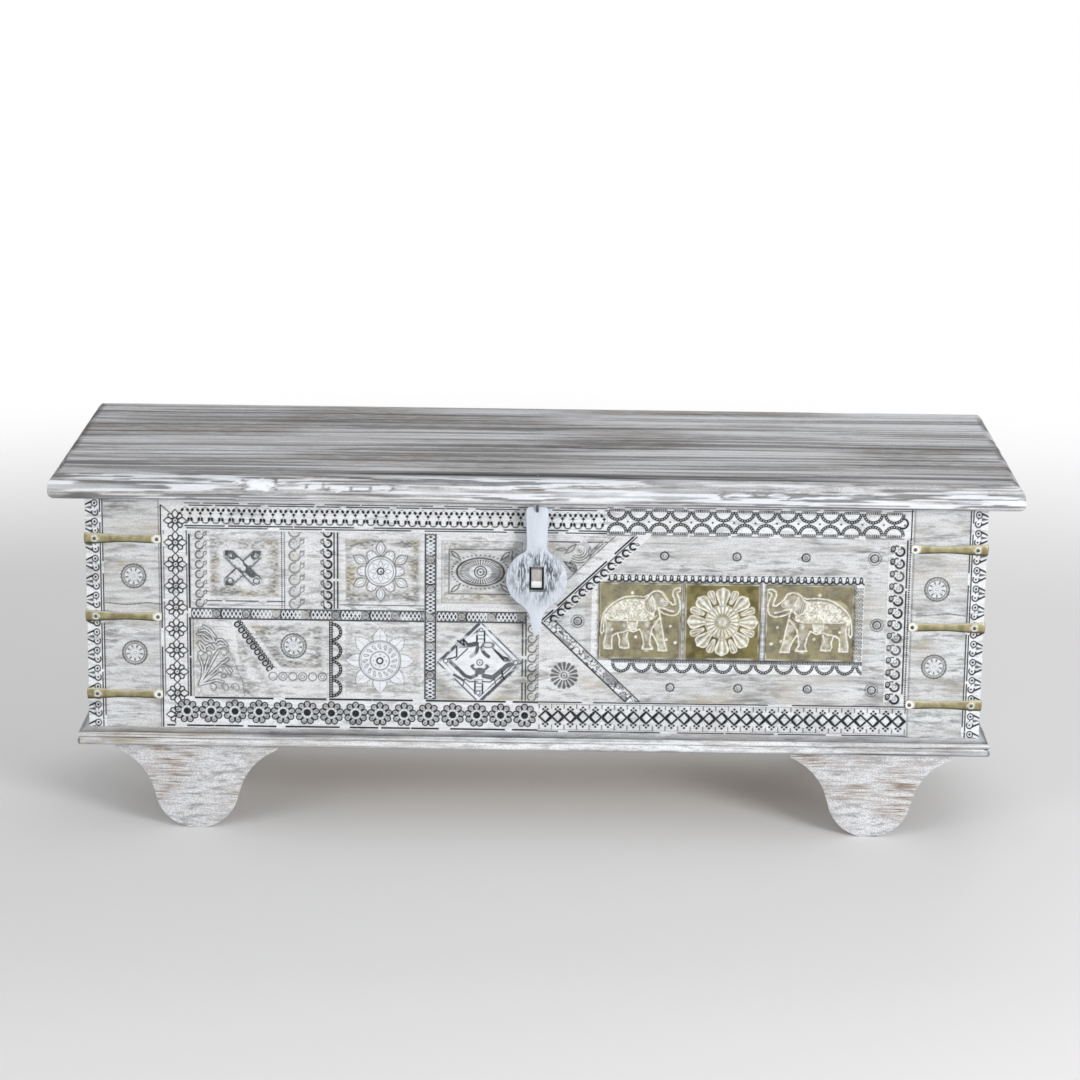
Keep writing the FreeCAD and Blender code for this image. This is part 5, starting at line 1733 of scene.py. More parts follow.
# %% [markdown]
# The plates and the corner straps are old brass. It is clouded with tarnish, and where the wash caught on
# the raised work it is cream and no longer shines, so the wash also turns off the metal.

# %% Mix the brass
brass_olive = tone(136, 128, 92)
brass_light = tone(170, 162, 128)
plate_olive = tone(130, 121, 78)
plate_deep = tone(92, 84, 52)
cream_wash_and_highlight = tone(240, 239, 230)
brass_roughness = 0.42
washed_roughness = 0.7
metal_bump = 0.12


def brass(name, light, deep, metal):
    """Old brass with clouded tarnish, and wash where the carving marks it bright; on the straps these marks
    also paint shade and a highlight.
    """
    finish = Finish(name, brass_roughness, metal)
    cloud = finish.noise(14, detail=3, warp=0.5)
    fleck = finish.noise(1.3, detail=2)
    metal_colour = finish.mix(finish.band(cloud, 0.35, 0.65), deep, light)
    # On the straps the dark mark is tarnish and painted shade along the dome's edges.
    metal_colour = finish.mix(finish.carved("dark"), metal_colour, dark_wax_and_shade)
    # The bright mark is wash, and on the straps also a painted highlight along the upper edge.
    wash = finish.calc("MULTIPLY", finish.carved("bright"), finish.band(fleck, 0.30, 0.48, 0.55, 1.0))
    shine = finish.band(wash, 0.1, 0.6, metal, 0.0)
    dulled = finish.band(wash, 0.1, 0.6, brass_roughness, washed_roughness)
    finish.feed(finish.shader, {"Metallic": shine, "Roughness": dulled})
    finish.rough(fleck, metal_bump)
    return finish.done(finish.mix(wash, metal_colour, cream_wash_and_highlight))


plate_brass = brass("plate_brass", plate_olive, plate_deep, 0.55)
strap_brass = brass("strap_brass", brass_light, brass_olive, 0.8)
print("brass recipes", plate_brass.name, strap_brass.name)

# %% [markdown]
# The plates are thin brass sheets, beaten up from behind: two elephants that face each other, and a
# double flower between them. The lines of an elephant are bent paths in millimetres from the plate's
# lower left corner, each beaten to a round ridge, over a pillow of an ellipse, a circle and the legs.

# %% Beat the elephants and the flower
sheet_depth = 1.3
ridge_width = 2.4
plate_step = 0.62
plate_arris = 0.3
elephant_width = 98.5
back_line = ((3.5, 52.5), (5.3, 57), (9.7, 63.3), (15.8, 68.8), (22.9, 73.8), (29.9, 76.9), (41.4, 78.3),
             (53.7, 77.4), (59, 80.1), (64.3, 84.2), (69.5, 85.2), (74.8, 83.3), (77.5, 78.7), (78.8, 76),
             (83.6, 71.5), (88, 67.9), (91.2, 68.8), (89.8, 74.2), (87.6, 80.5), (88, 85.1), (91.2, 88.2),
             (95, 89.1), (97, 87.8))
trunk_line = ((71.3, 60.6), (76.6, 57), (83.6, 54.8), (89.8, 54.3), (94.6, 57), (96.8, 62.4),
              (96.8, 69.7), (95, 76.9), (92.8, 81.4), (93.6, 83.7), (96.6, 85))
chest_line = ((70.4, 64.3), (73.1, 52.5), (74.8, 42.5), (76.6, 33.5), (77.9, 24.4), (79.2, 19), (81.9, 10))
rear_line = ((3.5, 52.5), (7, 48), (8.8, 38), (7.9, 29), (5.6, 19), (5.7, 12), (15.6, 12), (15, 20.8),
             (15.8, 28.1), (21.1, 31.7), (29, 33), (34.3, 35.3), (41.4, 33.5), (48.4, 37), (51.9, 29),
             (53.7, 19), (51.9, 12))
inner_rear = ((22, 30.8), (24.6, 23.5), (23.8, 17.2), (25.4, 13.2), (36.1, 13.2), (35.2, 19),
              (32.1, 24.4), (34.3, 32.6))
fore_line = ((73.1, 52.5), (69.5, 47.1), (63.4, 38), (61.6, 28.1), (60.7, 19), (64.6, 12), (51.9, 12))
far_fore = ((63.4, 31.7), (67.8, 24.4), (71.3, 16.3), (71.4, 10.4), (81.9, 10))
tail_line = ((3.5, 52.5), (2.2, 42.5), (1.6, 33.5), (3, 29.8), (5, 33.5), (5, 42.5), (5.3, 51.6))
ear_line = ((59, 78.7), (53.7, 72.4), (52.8, 66.1), (57.2, 58.8), (63.4, 56.1), (66.9, 60.6), (66, 71.5),
            (62.5, 78.7))
blanket_hem = ((6.5, 50.5), (12.0, 48.0), (53.7, 47.5), (64.0, 49.5), (68.7, 54.0))
tassel_line = ((33.5, 46.6), (34.3, 39.8), (37.9, 36.2), (44, 37.1), (45.8, 46.2))
cheek_line = ((71.3, 64.3), (76.6, 63.6), (83.6, 60.6), (88.9, 59.7))
legs = (((11, 46), (10.8, 15), 5.0), ((29.5, 42), (30, 15.5), 5.5), ((56, 42), (57.8, 14), 6.0),
        ((70, 44), (76, 13.5), 5.2))
toes = ((7.4, 12.6), (11, 12.2), (14.2, 12.6), (27.4, 13.6), (30.6, 13.2), (34, 13.6), (54, 12.4),
        (58, 12), (62, 12.4), (73.6, 10.8), (77, 10.4), (80, 10.8))
specks = ((91.8, 20.4), (85.5, 41), (39, 82), (81, 24), (44, 27), (15, 36))


def ridge(distance, width=ridge_width):
    """Round ridge beaten along a line."""
    return np.sqrt(held(1 - (2 * distance / width) ** 2))


def elephant(x, z):
    """Height, 0 to 1, and wash of an elephant that walks to the right with its trunk up."""
    body = (np.hypot((x - 34) / 31, (z - 57) / 20) - 1) * 20
    head = np.hypot(x - 69, z - 71) - 13
    leg_fills = [to_line(x, z, start, end) - half for start, end, half in legs]
    trunk = to_path(x, z, ((76, 65), (84, 61), (91, 60), (94, 66), (91, 77), (90.5, 84.5), (95, 87))) - 3.4
    shape = np.min([body, head, trunk] + leg_fills, axis=0)
    ear = (np.hypot((x - 60) / 7, (z - 67) / 11) - 1) * 7
    hem = to_path(x, z, blanket_hem)
    below_back = z - np.interp(x, *zip(*back_line[:8])) + 3.2
    above_hem = np.interp(x, *zip(*blanket_hem)) - z
    blanket = np.max([below_back, above_hem, x - 66, -ear], axis=0)
    lines = [back_line, trunk_line, chest_line, rear_line, inner_rear, fore_line, far_fore, tail_line,
             ear_line, tassel_line, cheek_line]
    drawn = np.max([ridge(to_path(x, z, line)) for line in lines], axis=0)
    eye = np.hypot(x - 79, z - 69.4)
    drawn = np.max([drawn, ridge(np.abs(eye - 2.5), 1.6), ridge(eye, 1.8), ridge(hem, 1.5)], axis=0)
    drawn = np.maximum(drawn, np.max([ridge(np.hypot(x - u, z - v), 3.4) for u, v in toes], axis=0))
    weave = np.sin(x * 2 * math.pi / 3.1) * np.sin(z * 2 * math.pi / 2.9) * 0.5 + 0.5
    flower = np.cos(np.arctan2(z - 62, x - 31) * 8) * 0.5 + 0.5
    flower = flower * held((9 - np.hypot(x - 31, z - 62)) / 3)
    cloth = inside(blanket, 1) * np.maximum(0.35 + 0.5 * weave, flower)
    stitched = np.clip(1.5 * soft_noise(x, z, 1.5, 1.5, 84) + 0.1, 0.42, 1)
    stitched = np.maximum(stitched, 0.9 * flower)
    patchy = soft_noise(x, z, 4.5, 4.5, 85)
    skin = patchy * (0.75 * inside(np.min(leg_fills, axis=0), 2.2) + 0.9 * inside(head + 2.5, 3))
    tassel = inside(in_box(x, z, 34.5, 45, 37.5, 46)) * (0.4 + 0.4 * weave)
    folds = inside(ear + 1, 1) * (0.4 + 0.3 * np.sin(x * 2.6 + z * 0.6))
    speck = np.max([ridge(np.hypot(x - u, z - v), 3.0 + u % 1.7) for u, v in specks], axis=0)
    height = np.max([0.40 * inside(shape, 2.2), drawn, 0.9 * cloth, 0.8 * tassel, folds, 0.6 * speck],
                    axis=0)
    wash = np.max([drawn, inside(blanket, 1) * stitched, tassel + 0.15, folds * 0.9, skin,
                   0.25 * inside(shape, 2.2), speck], axis=0)
    return height, wash


def flower_head(u, v):
    """Height and wash of the double flower."""
    far = np.hypot(u, v)
    along, across = fanned(u, v, 8, 90)
    half = 3.5 + 6.6 * held((along - 20) / 14)
    flute = np.cos(across / half * 2.5 * math.pi) * 0.5 + 0.5
    petal = drop_petal(along, across, 22, 33.0 + 0.9 * flute, 4.0, 9.0)
    lobes = inside(petal, 1.0) * np.maximum(0.25 + 0.65 * flute, ridge(np.abs(petal + 0.8), 1.8))
    under_along, under_across = fanned(u, v, 8, 67.5)
    under_petal = drop_petal(under_along, under_across, 26, 37.6, 2.5, 4.6)
    under_flute = np.cos(under_across * math.pi / 2.2) * 0.5 + 0.5
    under = inside(under_petal, 1) * np.maximum(0.2 + 0.4 * under_flute,
                                                0.8 * ridge(np.abs(under_petal + 0.7), 1.6))
    under = under * (petal > 0.4)
    ray_along, ray_across = fanned(u, v, 22, 90)
    ray = inside(drop_petal(ray_along, ray_across, 10.5, 18.0, 0.7, 1.75), 0.6)
    rim = ridge(np.abs(far - 20.6), 2.0) * 0.6
    disc = inside(far - 21.2, 0.8)
    boss = np.sqrt(held(1 - (far / 7.0) ** 2)) * 0.9 + 0.2 * ridge(np.abs(far - 7.6), 1.4)
    height = np.where(disc > 0.5, np.max([0.30 * disc, 0.85 * ray, rim, boss], axis=0),
                      np.maximum(lobes, under))
    wash = np.where(disc > 0.5, np.max([0.35 * disc, ray, rim, np.clip(boss, 0, 0.75)], axis=0),
                    np.maximum(lobes * 1.25, under * 1.3))
    return height, wash


def beaten(node, motif):
    """Relief of a plate from the height and wash of its motif."""
    low, high = corners(node)

    def relief(x, z):
        cut = Carving(x, z)
        height, wash = motif(x - low[0], z - low[2], high[0] - low[0], high[2] - low[2])
        dents = soft_noise(x, z, 7, 7, 81)
        cut.ground = sheet_depth * (1 - held(height)) - 0.18 * dents * (height < 0.05)
        rim = in_box(x, z, low[0], high[0], low[2], high[2])
        rubbed = 0.75 * held(1 + (rim + 0.8) / 1.6) * soft_noise(x, z, 9, 9, 82)
        mottle = 0.55 + 0.6 * soft_noise(x, z, 3.2, 3.2, 83)
        cut.bright = np.maximum(held(wash) * held(mottle), rubbed)
        return cut

    return relief


plate_motifs = {
    "left_elephant_plate": lambda x, z, wide, tall: elephant(x, z),
    "flower_plate": lambda x, z, wide, tall: flower_head(x - wide / 2, z - tall / 2),
    "right_elephant_plate": lambda x, z, wide, tall: elephant((wide - x) * elephant_width / wide, z),
}
for node, motif in plate_motifs.items():
    low, high = corners(node)
    edge = eased(plate_arris, pocket_depth, 2)
    plate = plank("beaten_" + node, "front", Lines(low[0], high[0], plate_step, edge, edge),
                  Lines(low[2], high[2], plate_step, edge, edge), -frame_low[1], beaten(node, motif))
    dress(plate, "chest", "aged_brass", plate_brass, node)

# %% [markdown]
# Thin strips and wires are swept: a small closed section is carried along a path and turned with it.
# The brass straps are domed strips that lap round the corners, widest at the arris, whitewashed at the
# tab where the inner nail sits. The hasp's ring is a bent wire and its staple a bent flat bar.

# %% Sweep the straps, the ring and the staple
wall_front = -corners("left_stile")[0][1]
wall_end = corners("right_corner_strip")[1][0]
strap_tip = 450.5
strap_side_tip = 108.75
strap_levels = (169.9, 267.4, 364.0)
strap_dome = 1.9
strap_edge = 0.5
strap_halves = (5.5, 7.0)
strap_waist = 0.9
nail_inset_corner = 11.0
nail_inset_tip = 4.5


def swept(name, bases, outs, sides, section, marks=None):
    """Closed strip: at each base a section of (out, side) points, with the last joined to the first."""
    loop = np.array(section + section[:1], float)
    bases, outs, sides = (np.array(values, float)[:, None, :] for values in (bases, outs, sides))
    places = bases + loop[None, :, :1] * outs + loop[None, :, 1:] * sides
    return lattice(name, places, marks)


def bent_bar(name, x, path, section, marks=None):
    """Section swept along a path of (y, z) points, square to it at every point."""
    steps = np.gradient(np.array(path), axis=0)
    steps = steps / np.linalg.norm(steps, axis=1)[:, None]
    bases = [(x, y, z) for y, z in path]
    outs = [(0, -dz, dy) for dy, dz in steps]
    return swept(name, bases, outs, [(1, 0, 0)] * len(path), section, marks)


def gathered(name, pieces):
    """Several meshes joined into one object."""
    bpy.ops.object.select_all(action="DESELECT")
    for piece in pieces:
        piece.select_set(True)
    bpy.context.view_layer.objects.active = pieces[0]
    if len(pieces) > 1:
        bpy.ops.object.join()
    pieces[0].name = name
    return pieces[0]


def corner_strap(level, hand):
    """One domed strap round a front corner, on the right for hand 1 and on the left for hand -1."""
    bases, outs, halves = [], [], []
    for share in np.linspace(0, 1, 31):
        bases.append((hand * (strap_tip + share * (wall_end - strap_tip)), -wall_front, level))
        outs.append((0, -1, 0))
        widened = strap_halves[0] + share * (strap_halves[1] - strap_halves[0])
        halves.append(widened - 2 * strap_waist * math.sin(math.pi * share) ** 2)
    for turn in np.linspace(0, math.pi / 2, 6)[1:]:
        bases.append((hand * wall_end, -wall_front, level))
        outs.append((hand * math.sin(turn), -math.cos(turn), 0))
        halves.append(strap_halves[1])
    for share in np.linspace(0, 1, 16)[1:]:
        bases.append((hand * wall_end, -wall_front + share * (wall_front - strap_side_tip), level))
        outs.append((hand, 0, 0))
        halves.append(strap_halves[1] + share * (strap_halves[0] - strap_halves[1]))
    around = np.linspace(-1, 1, 15)
    dome = [(strap_edge + (strap_dome - strap_edge) * math.sqrt(1 - a * a), a) for a in around]
    section = [(0.0, -1.0)] + dome + [(0.0, 1.0)]
    sides = [(0, 0, half) for half in halves]
    side_share = np.array(section + section[:1])[:, 1]
    run = np.abs(np.array(bases)[:, 0]) - strap_tip
    on_front = np.array(outs)[:, 1] < -0.99
    run = np.where(on_front, run, 200)
    off = side_share[None, :] * np.array(halves)[:, None]
    tip_far = np.hypot(run[:, None] - nail_inset_tip, off)
    corner_far = np.hypot(run[:, None] - (wall_end - strap_tip - nail_inset_corner), off)
    wash = np.maximum(held((6.8 - tip_far) / 2.2), 0.8 * held((5.0 - corner_far) / 1.5))
    # Painted highlight: a pale band along the upper edge of the strap's front.
    wash = np.maximum(wash, 0.35 * held((side_share[None, :] - 0.7) * 6) * on_front[:, None])
    # Painted shade: the dome's lower edge and a thin line at its top edge are darkened; the even 0.07 under
    # it is tarnish.
    tarnish_and_shade = held((-0.45 - side_share[None, :]) * 3) + 0.5 * held((side_share[None, :] - 0.80) * 8)
    tarnish_and_shade = (0.07 + 0.6 * tarnish_and_shade) * np.ones_like(off)
    return swept("strap", bases, outs, sides, section, {"bright": wash, "dark": tarnish_and_shade * (1 - wash)})


straps = [corner_strap(level, hand) for level in strap_levels for hand in (1, -1)]
dress(gathered("domed_corner_straps", straps), "chest", "aged_brass", strap_brass, "corner_straps")

iron_roughness, iron_metal = 0.6, 0.15


def iron(name, paint, bare, worn, streak=(1, 1, 6), middle=None, reach=1.0):
    """Painted or bare iron, rubbed through in streaks: all over, or near a middle within a reach."""
    finish = Finish(name, iron_roughness, iron_metal)
    strokes = finish.noise(1.7, streak, detail=3, roughness=0.7)
    cloud = finish.noise(11, (1, 1, 1.8), detail=3)
    rubbed = finish.calc("MULTIPLY", finish.band(strokes, 0.40, 0.58),
                         finish.band(cloud, 0.32, 0.56, 0.25, 1.0))
    rubbed = finish.calc("MULTIPLY", rubbed, worn)
    if middle:
        far = finish.add("VectorMath", {0: finish.place, 1: middle}, "Value", operation="DISTANCE")
        rubbed = finish.calc("MULTIPLY", rubbed, finish.band(far, reach, reach * 0.4, 0.08, 1.0))
    # The bright mark is wash, and on the studs also a painted highlight on the crown.
    rubbed = finish.calc("ADD", rubbed, finish.carved("bright"))
    finish.rough(strokes, metal_bump)
    return finish.done(finish.mix(rubbed, paint, bare))


hasp_disc = (0.0015, -0.1978, 0.330)
white_iron = iron("whitewashed_iron", tone(204, 211, 221), tone(74, 80, 88), 1.0, middle=hasp_disc,
                  reach=0.044)
black_iron = iron("blackened_iron", tone(46, 50, 54), tone(212, 215, 218), 0.2, (1, 1, 1))
wire_iron = iron("wire_iron", tone(60, 62, 64), tone(130, 132, 134), 0.5)
staple_iron = iron("staple_iron", tone(166, 161, 160), tone(226, 227, 228), 0.25)
stud_iron = iron("stud_iron", tone(104, 107, 110), tone(212, 214, 216), 0.5, (1, 1, 1))

hasp_x = 1.5
wire_radius = 1.5
wire_bend = 5.0
pivot_y, pivot_z = -196.5, 414.5
front_leg_top = 433.0
clinch_z = lid_top - wire_radius
clinch_reach = 10.0


def hasp_wire():
    """Wire of the ring: up into the lid in front, round below, and up through the lid to a bent end."""
    path = [(pivot_y - wire_bend, front_leg_top)]
    path += [(pivot_y - wire_bend * math.cos(turn), pivot_z - wire_bend * math.sin(turn))
             for turn in np.linspace(0, math.pi, 13)]
    path += [(pivot_y + wire_bend, clinch_z - 2.0), (pivot_y + wire_bend + 0.6, clinch_z - 0.6),
             (pivot_y + wire_bend + 2.0, clinch_z), (pivot_y + wire_bend + clinch_reach, clinch_z)]
    section = [(wire_radius * math.cos(a), wire_radius * math.sin(a))
               for a in np.linspace(0, 2 * math.pi, 13)[:-1]]
    return bent_bar("bent_hasp_ring", hasp_x, path, section)


dress(hasp_wire(), "lid", "dark_iron", wire_iron, "hasp_ring")

staple_low, staple_high = corners("hasp_staple")
bar = 3.0
bar_ease = 0.35
crease_share = 0.36
clinch = 8.0


def staple_bar():
    """Flat bar bent twice, through the front and clinched apart inside."""
    back = staple_high[1] - bar / 2
    nose = staple_low[1] + bar / 2
    bottom, top = staple_low[2] + clinch + bar / 2, staple_high[2] - clinch - bar / 2
    path = [(back, bottom - clinch - bar / 2), (back, bottom - 1.2), (back - 0.4, bottom - 0.4),
            (back - 1.2, bottom)]
    path += [(nose + 1.6, bottom), (nose + 0.5, bottom + 0.5), (nose, bottom + 1.6)]
    mirrored = [(y, bottom + top - z) for y, z in reversed(path)]
    crease = bottom + crease_share * (top - bottom)
    path = path + [(nose, crease - 1.0), (nose + 0.6, crease), (nose, crease + 1.0)] + mirrored
    middle = (staple_low[0] + staple_high[0]) / 2
    half = (staple_high[0] - staple_low[0]) / 2
    r, t = bar_ease, bar / 2
    section = [(-t, -half + r), (-t, half - r), (-t + r, half), (t - r, half), (t, half - r),
               (t, -half + r), (t - r, -half), (-t + r, -half)]
    on_front = [1.0 if abs(y - nose) < 1.7 and z < crease else 0.0 for y, z in path]
    washed = np.repeat(np.array(on_front)[:, None], len(section) + 1, axis=1)
    return bent_bar("bent_hasp_staple", middle, path, section, {"bright": washed})


dress(staple_bar(), "chest", "dark_iron", staple_iron, "hasp_staple")

# %% [markdown]
# Round-headed nails hold the straps, and larger studs sit in the field. A head is turned: its profile is
# carried round an axis that points out of the wall. Each has few faces, and all the nails of one kind
# are joined into one object.

# %% Turn the nails and studs
strap_out = 2.0
head_turns = 15
nail_size = (2.6, 1.4, 1.0, 9.0)
stud_size = (4.0, 2.3, 1.2, 6.0)
nail_sink = 0.1
stud_sink = 0.3


def turned_head(base, outward, radius, height, shank, length, washed=(0, 0, 0, 0, 0, 0)):
    """Domed head on a base, washed by shares from its top to its rim (on the studs the top share is a
    painted highlight), with its shank going in.
    """
    dome = [(radius * math.sin(a), height * math.cos(a)) for a in np.linspace(0, math.pi / 2, 6)]
    profile = dome + [(shank, 0.0), (shank, -length), (0.0, -length)]
    out = np.array(outward, float)
    side = np.cross(out, (0, 0, 1))
    up = np.array((0, 0, 1.0))
    turns = np.linspace(0, 2 * math.pi, head_turns)
    places = np.empty((len(turns), len(profile), 3))
    for row, (far, along) in enumerate(profile):
        places[:, row] = np.array(base) + out * along
        places[:, row] += far * (np.cos(turns)[:, None] * side + np.sin(turns)[:, None] * up)
    wash = np.repeat(np.array(tuple(washed) + (0, 0, 0), float)[None, :], len(turns), axis=0)
    return lattice("nail", places, {"bright": wash})


nail_wash = (0, 0, 0, 0.2, 0.7, 0.7)
# Shares from the top of a stud's dome to its rim: the pale top is a painted highlight, the pale rim is wash.
stud_wash_and_highlight = (0.6, 0.1, 0.1, 0.5, 0.8, 0.8)
nails = []
for level in strap_levels:
    for hand in (1, -1):
        for run in (wall_end - nail_inset_corner, strap_tip + nail_inset_tip):
            base = (hand * run, -wall_front - strap_out + nail_sink, level)
            nails.append(turned_head(base, (0, -1, 0), *nail_size, nail_wash))
        for run in (wall_front - nail_inset_corner, strap_side_tip + nail_inset_tip):
            base = (hand * (wall_end + strap_out - nail_sink), -run, level)
            nails.append(turned_head(base, (hand, 0, 0), *nail_size, nail_wash))
dress(gathered("turned_strap_nails", nails), "chest", "dark_iron", black_iron, "strap_nails")
studs = []
for x, z in stud_places:
    studs.append(turned_head((x, -wall_front + stud_sink, z), (0, -1, 0), *stud_size, stud_wash_and_highlight))
dress(gathered("turned_panel_studs", studs), "chest", "whitewashed_iron", stud_iron, "panel_studs")

# %% [markdown]
# The iron cross on the first tile is cut from sheet: two flat arms, pointed at the ends, with nails there
# and in the middle. White is left in the dents. Each arm is a plank along a slanted pair of axes, and
# its ends are sawn square to the tile.

# %% Forge the cross
cross_low, cross_high = corners("iron_cross")
cross_middle = (cross_low + cross_high) / 2
arm_half, arm_wide, arm_thick = 31.0, 6.5, 1.5
cross_reach = 21.7
arm_arris, arm_step = 0.5, 0.8
cross_nail_size = (3.8, 1.2, 1.0, 1.2)
cross_nail_wash = (0.9, 0.8, 0.7, 0.5, 0.2, 0)
cross_nail_sink = 0.6


def cross_arm(name, degrees, lowered):
    """One arm of the cross, turned in the plane of the front."""
    c, s = math.cos(math.radians(degrees)), math.sin(math.radians(degrees))
    ways[name] = ((c, 0, s), (-s, 0, c), (0, -1, 0))
    u, v = cross_middle[0] * c + cross_middle[2] * s, cross_middle[2] * c - cross_middle[0] * s
    edge = eased(arm_arris, arm_thick - lowered, 2)

    def dents(x, z):
        cut = Carving(x, z)
        along, across = x - u, z - v
        spots = soft_noise(along + 40, across, 11, 6, 90 + degrees)
        nail = np.hypot(np.abs(along) - 22.5, across)
        rim = arm_wide - np.abs(across)
        cut.ground = 0.5 * held(spots - 0.4) + 0.5 * held(1 - rim / 1.6)
        cut.ground = cut.ground * held(nail - 3.4)
        scratched = soft_noise(along, across, 2.2, 2.2, 95)
        paint = np.clip((spots - 0.47) * 9, 0, 0.95) * held(rim / 1.2 - 0.7)
        paint = paint * np.clip(scratched * 2.4, 0.4, 1)
        head = 0.75 * inside(nail - 2.8) * scratched * 1.4
        cut.bright = np.maximum(paint, head) * (1 - line(nail - 3.6, 1.6))
        return cut

    arm = plank(name, name, Lines(u - arm_half, u + arm_half, arm_step, edge, edge),
                Lines(v - arm_wide, v + arm_wide, arm_step, edge, edge), -cross_low[1] - lowered, dents)
    for away in ((1, 0), (-1, 0), (0, 1), (0, -1)):
        saw(arm, (cross_middle[0] + away[0] * cross_reach, cross_middle[2] + away[1] * cross_reach), away)
    return arm


for name, degrees, lowered in (("forged_cross_arm_a", 45, 0.2), ("forged_cross_arm_b", -45, 0.0)):
    dress(cross_arm(name, degrees, lowered), "chest", "dark_iron", black_iron, "iron_cross")
nail_place = (cross_middle[0], cross_low[1] + cross_nail_sink, cross_middle[2])
cross_nail = turned_head(nail_place, (0, -1, 0), *cross_nail_size, cross_nail_wash)
cross_nail.name = "turned_cross_nail"
dress(cross_nail, "chest", "dark_iron", stud_iron, "iron_cross")

# %% [markdown]
# The hasp is cut from sheet iron to a bottle outline with a pointed tail, slotted for the staple and
# holed for the ring. The sheet is a filled circle whose points are set to the outline, extruded, bent
# forward at the tail and eased with a bevel. The feet are cut from thick boards in the same way.

# %% Cut out the hasp
arc_steps = 10
arris_steps = 2
arris_angle = 50


def cut_out(name, outline, front, thickness, ease):
    """Board or sheet sawn to an outline of (x, z) points, with eased edges."""
    bpy.ops.object.select_all(action="DESELECT")
    bpy.ops.mesh.primitive_circle_add(vertices=len(outline), radius=1, fill_type="NGON")
    piece = bpy.context.object
    piece.name = name
    for vertex, (x, z) in zip(piece.data.vertices, outline):
        vertex.co = (x / 1000, front / 1000, z / 1000)
    bpy.ops.object.mode_set(mode="EDIT")
    bpy.ops.mesh.select_all(action="SELECT")
    bpy.ops.mesh.extrude_region_move(TRANSFORM_OT_translate={"value": (0, thickness / 1000, 0)})
    bpy.ops.mesh.select_all(action="SELECT")
    bpy.ops.mesh.normals_make_consistent(inside=False)
    bpy.ops.object.mode_set(mode="OBJECT")
    arris = piece.modifiers.new("arris", "BEVEL")
    arris.width = ease / 1000
    arris.segments = arris_steps
    arris.limit_method = "ANGLE"
    arris.angle_limit = math.radians(arris_angle)
    bpy.ops.object.modifier_apply(modifier=arris.name)
    bpy.ops.object.shade_smooth_by_angle(angle=smooth_angle)
    return piece


def bowed(start, end, sag):
    """Middle of a hollow side between two points."""
    run = np.array(end, float) - np.array(start, float)
    across = np.array((run[1], -run[0])) / np.hypot(*run)
    return tuple((np.array(start) + np.array(end)) / 2 + sag * across)


def mirrored_outline(side, middle):
    """Closed outline from its right side, given from top to bottom."""
    right = [(middle + x, z) for x, z in side]
    left = [(middle - x, z) for x, z in reversed(side) if abs(x) > 1e-6]
    return right + left


disc_z, disc_radius = 325.0, 36.5
neck_top, neck_foot = (13.5, 414.7), (12.0, 365.5)
top_round = 6.0
waist, tip = (6.5, 273.5), (4.5, 262.5)
bend_z, kick = 291.5, 5.0
slot_half, slot_tall = 8.8, 15.5
hole_z, hole_radius, hole_sides = 409.5, 2.2, 20
drill_length = 0.02
sheet_ease = 0.6
sheet_front, sheet_thick = -197.75, 2.5


def hasp_side():
    """Right half of the hasp's outline, from its shoulder round the disc to the tail."""
    disc = [(disc_radius * math.cos(math.radians(a)), disc_z + disc_radius * math.sin(math.radians(a)))
            for a in np.linspace(62, -60, 4 * arc_steps)]
    shoulder = [(neck_top[0] - top_round * (1 - math.sin(a)), neck_top[1] - top_round * (1 - math.cos(a)))
                for a in np.linspace(0, math.pi / 2, 7)]
    fillet = arc_through(neck_foot, bowed(neck_foot, disc[0], 1.6), disc[0], arc_steps)
    hollow = arc_through(disc[-1], bowed(disc[-1], waist, 2.5), waist, arc_steps)
    tail = [(tip[0] * math.cos(a), tip[1] - tip[0] * math.sin(a)) for a in np.linspace(0, math.pi / 2, 7)]
    lower = list(map(tuple, hollow[1:])) + tail[:-1] + [(0.0, tip[1] - tip[0])]
    return shoulder + list(map(tuple, fillet[:-1])) + disc + lower


def bend_tail(piece):
    """Cut the sheet across at the bend and push the tail forward."""
    open_mesh(piece)
    bpy.ops.mesh.bisect(plane_co=(0, 0, bend_z / 1000), plane_no=(0, 0, 1))
    bpy.ops.object.mode_set(mode="OBJECT")
    fall = bend_z - (tip[1] - tip[0])
    for vertex in piece.data.vertices:
        below = max(0.0, bend_z - vertex.co.z * 1000)
        vertex.co.y -= kick * below / fall / 1000


hasp = cut_out("cut_hasp_plate", mirrored_outline(hasp_side(), hasp_x), sheet_front, sheet_thick,
               sheet_ease)
bend_tail(hasp)
chop(hasp, (hasp_x - slot_half, sheet_front - 5, disc_z - slot_tall),
     (hasp_x + slot_half, sheet_front + 8, disc_z + slot_tall))
bpy.ops.object.select_all(action="DESELECT")
hole_place = (hasp_x / 1000, pivot_y / 1000, hole_z / 1000)
bpy.ops.mesh.primitive_cylinder_add(vertices=hole_sides, radius=hole_radius / 1000, depth=drill_length,
                                    location=hole_place, rotation=(math.pi / 2, 0, 0))
cut_away(hasp, bpy.context.object)
hasp.select_set(True)
bpy.ops.object.shade_smooth_by_angle(angle=smooth_angle)
dress(hasp, "hasp", "whitewashed_iron", white_iron, "hasp_plate")

# %% [markdown]
# Each foot is a thick board sawn to a bracket: a short upright shoulder, a hollow, a sloped waist and a
# round lobe with a flat where it stands. The wash is thin here and the pinkish wood shows in level streaks.

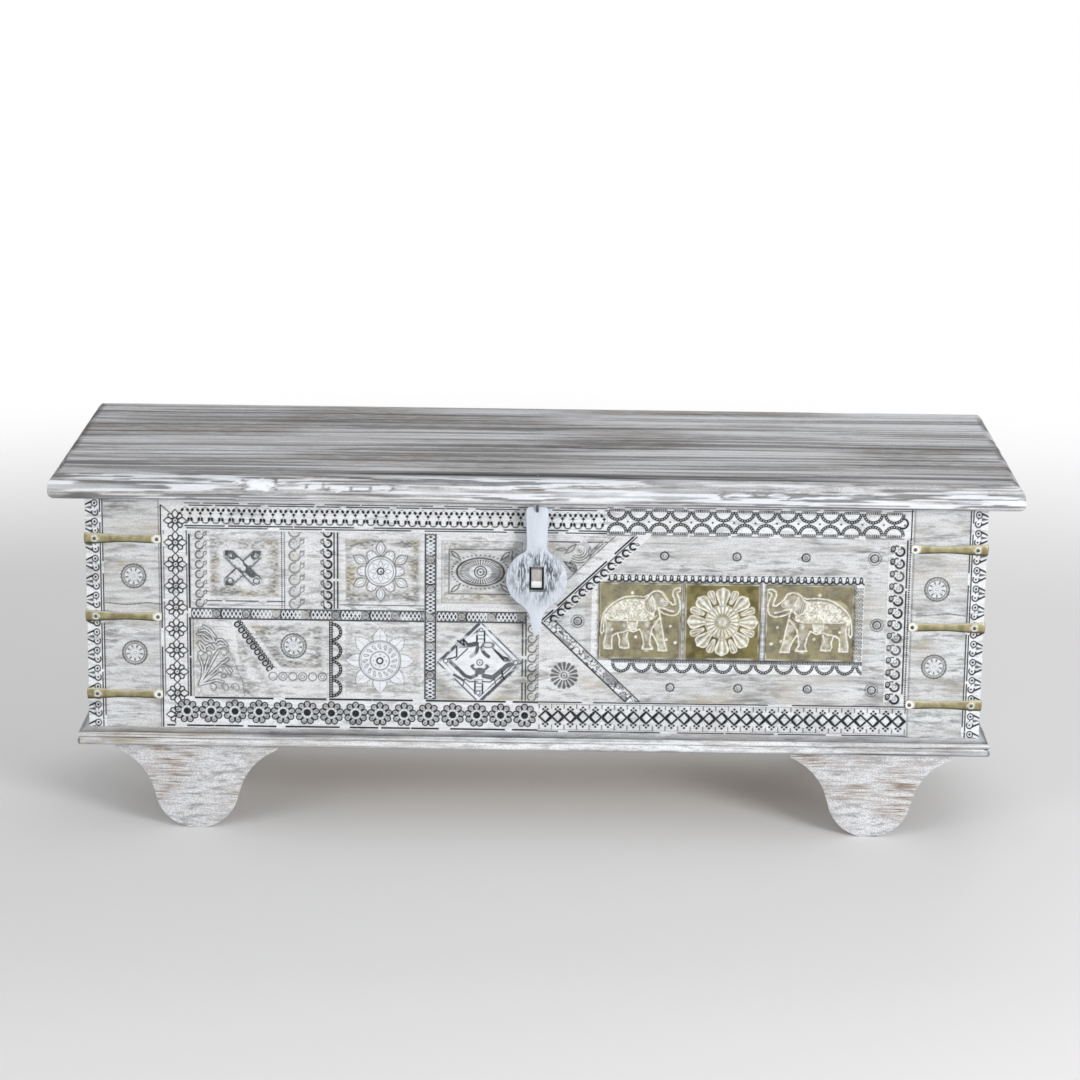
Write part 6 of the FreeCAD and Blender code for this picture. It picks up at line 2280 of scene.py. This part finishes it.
# %% Saw the feet
foot_top_half, foot_height = 99.0, 108.0
foot_shoulder, foot_hollow = 8.0, 6.0
foot_waist = (56.0, 58.0)
lobe_radius, lobe_start, flat_half = 51.5, -11.0, 10.0
foot_ease = 1.6
lobe_z = math.sqrt(lobe_radius ** 2 - flat_half ** 2)
foot_wash = limewash("foot_limewash", "x", bare=1.0, white=tone(232, 233, 237), grey=tone(186, 187, 190),
                     streak=18, smudge=0.75)


def foot_side():
    """Right side of the foot, from the top to the floor."""
    shoulder = (foot_top_half, foot_height - foot_shoulder)
    lobe_end = math.degrees(math.atan2(-lobe_z, flat_half))
    lobe = [(lobe_radius * math.cos(math.radians(a)), lobe_z + lobe_radius * math.sin(math.radians(a)))
            for a in np.linspace(lobe_start, lobe_end, 3 * arc_steps)]
    hollow = arc_through(shoulder, bowed(shoulder, foot_waist, foot_hollow), foot_waist, 2 * arc_steps)
    return [(foot_top_half, foot_height)] + list(map(tuple, hollow)) + lobe


for end in ("front", "back"):
    for side in ("left", "right"):
        node = end + "_" + side + "_foot"
        low, high = corners(node)
        outline = mirrored_outline(foot_side(), (low[0] + high[0]) / 2)
        foot = cut_out("sawn_" + node, outline, low[1], high[1] - low[1], foot_ease)
        dress(foot, "chest", "whitewashed_wood", foot_wash, node)

# %% [markdown]
# The boards inside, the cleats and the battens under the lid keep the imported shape: they are plain sawn
# wood, and only their finish is new. The hinges keep their shape too.

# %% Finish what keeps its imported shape
raw_tones = {"white": tone(196, 178, 156), "grey": tone(178, 160, 138)}
raw_wood = limewash("raw_inner_wood", "x", bare=1.0, **raw_tones)
upright_wood = limewash("raw_cleat_wood", "z", bare=1.0, **raw_tones)
batten_wood = limewash("raw_batten_wood", "y", bare=1.0, **raw_tones)
hinge_steel = iron("hinge_steel", tone(120, 116, 110), tone(80, 74, 68), 0.6)
kept_finishes = {
    "front_board": raw_wood,
    "bottom_boards": raw_wood,
    "corner_cleats": upright_wood,
    "lid_battens": batten_wood,
    "body_hinge_leaves": hinge_steel,
    "body_hinge_screws": hinge_steel,
    "lid_hinge_leaves": hinge_steel,
    "lid_hinge_screws": hinge_steel,
    "hinge_pins": hinge_steel,
}
for node, finish in kept_finishes.items():
    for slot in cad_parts[node].material_slots:
        slot.material = finish
print("nodes kept as packed", len(kept_finishes))
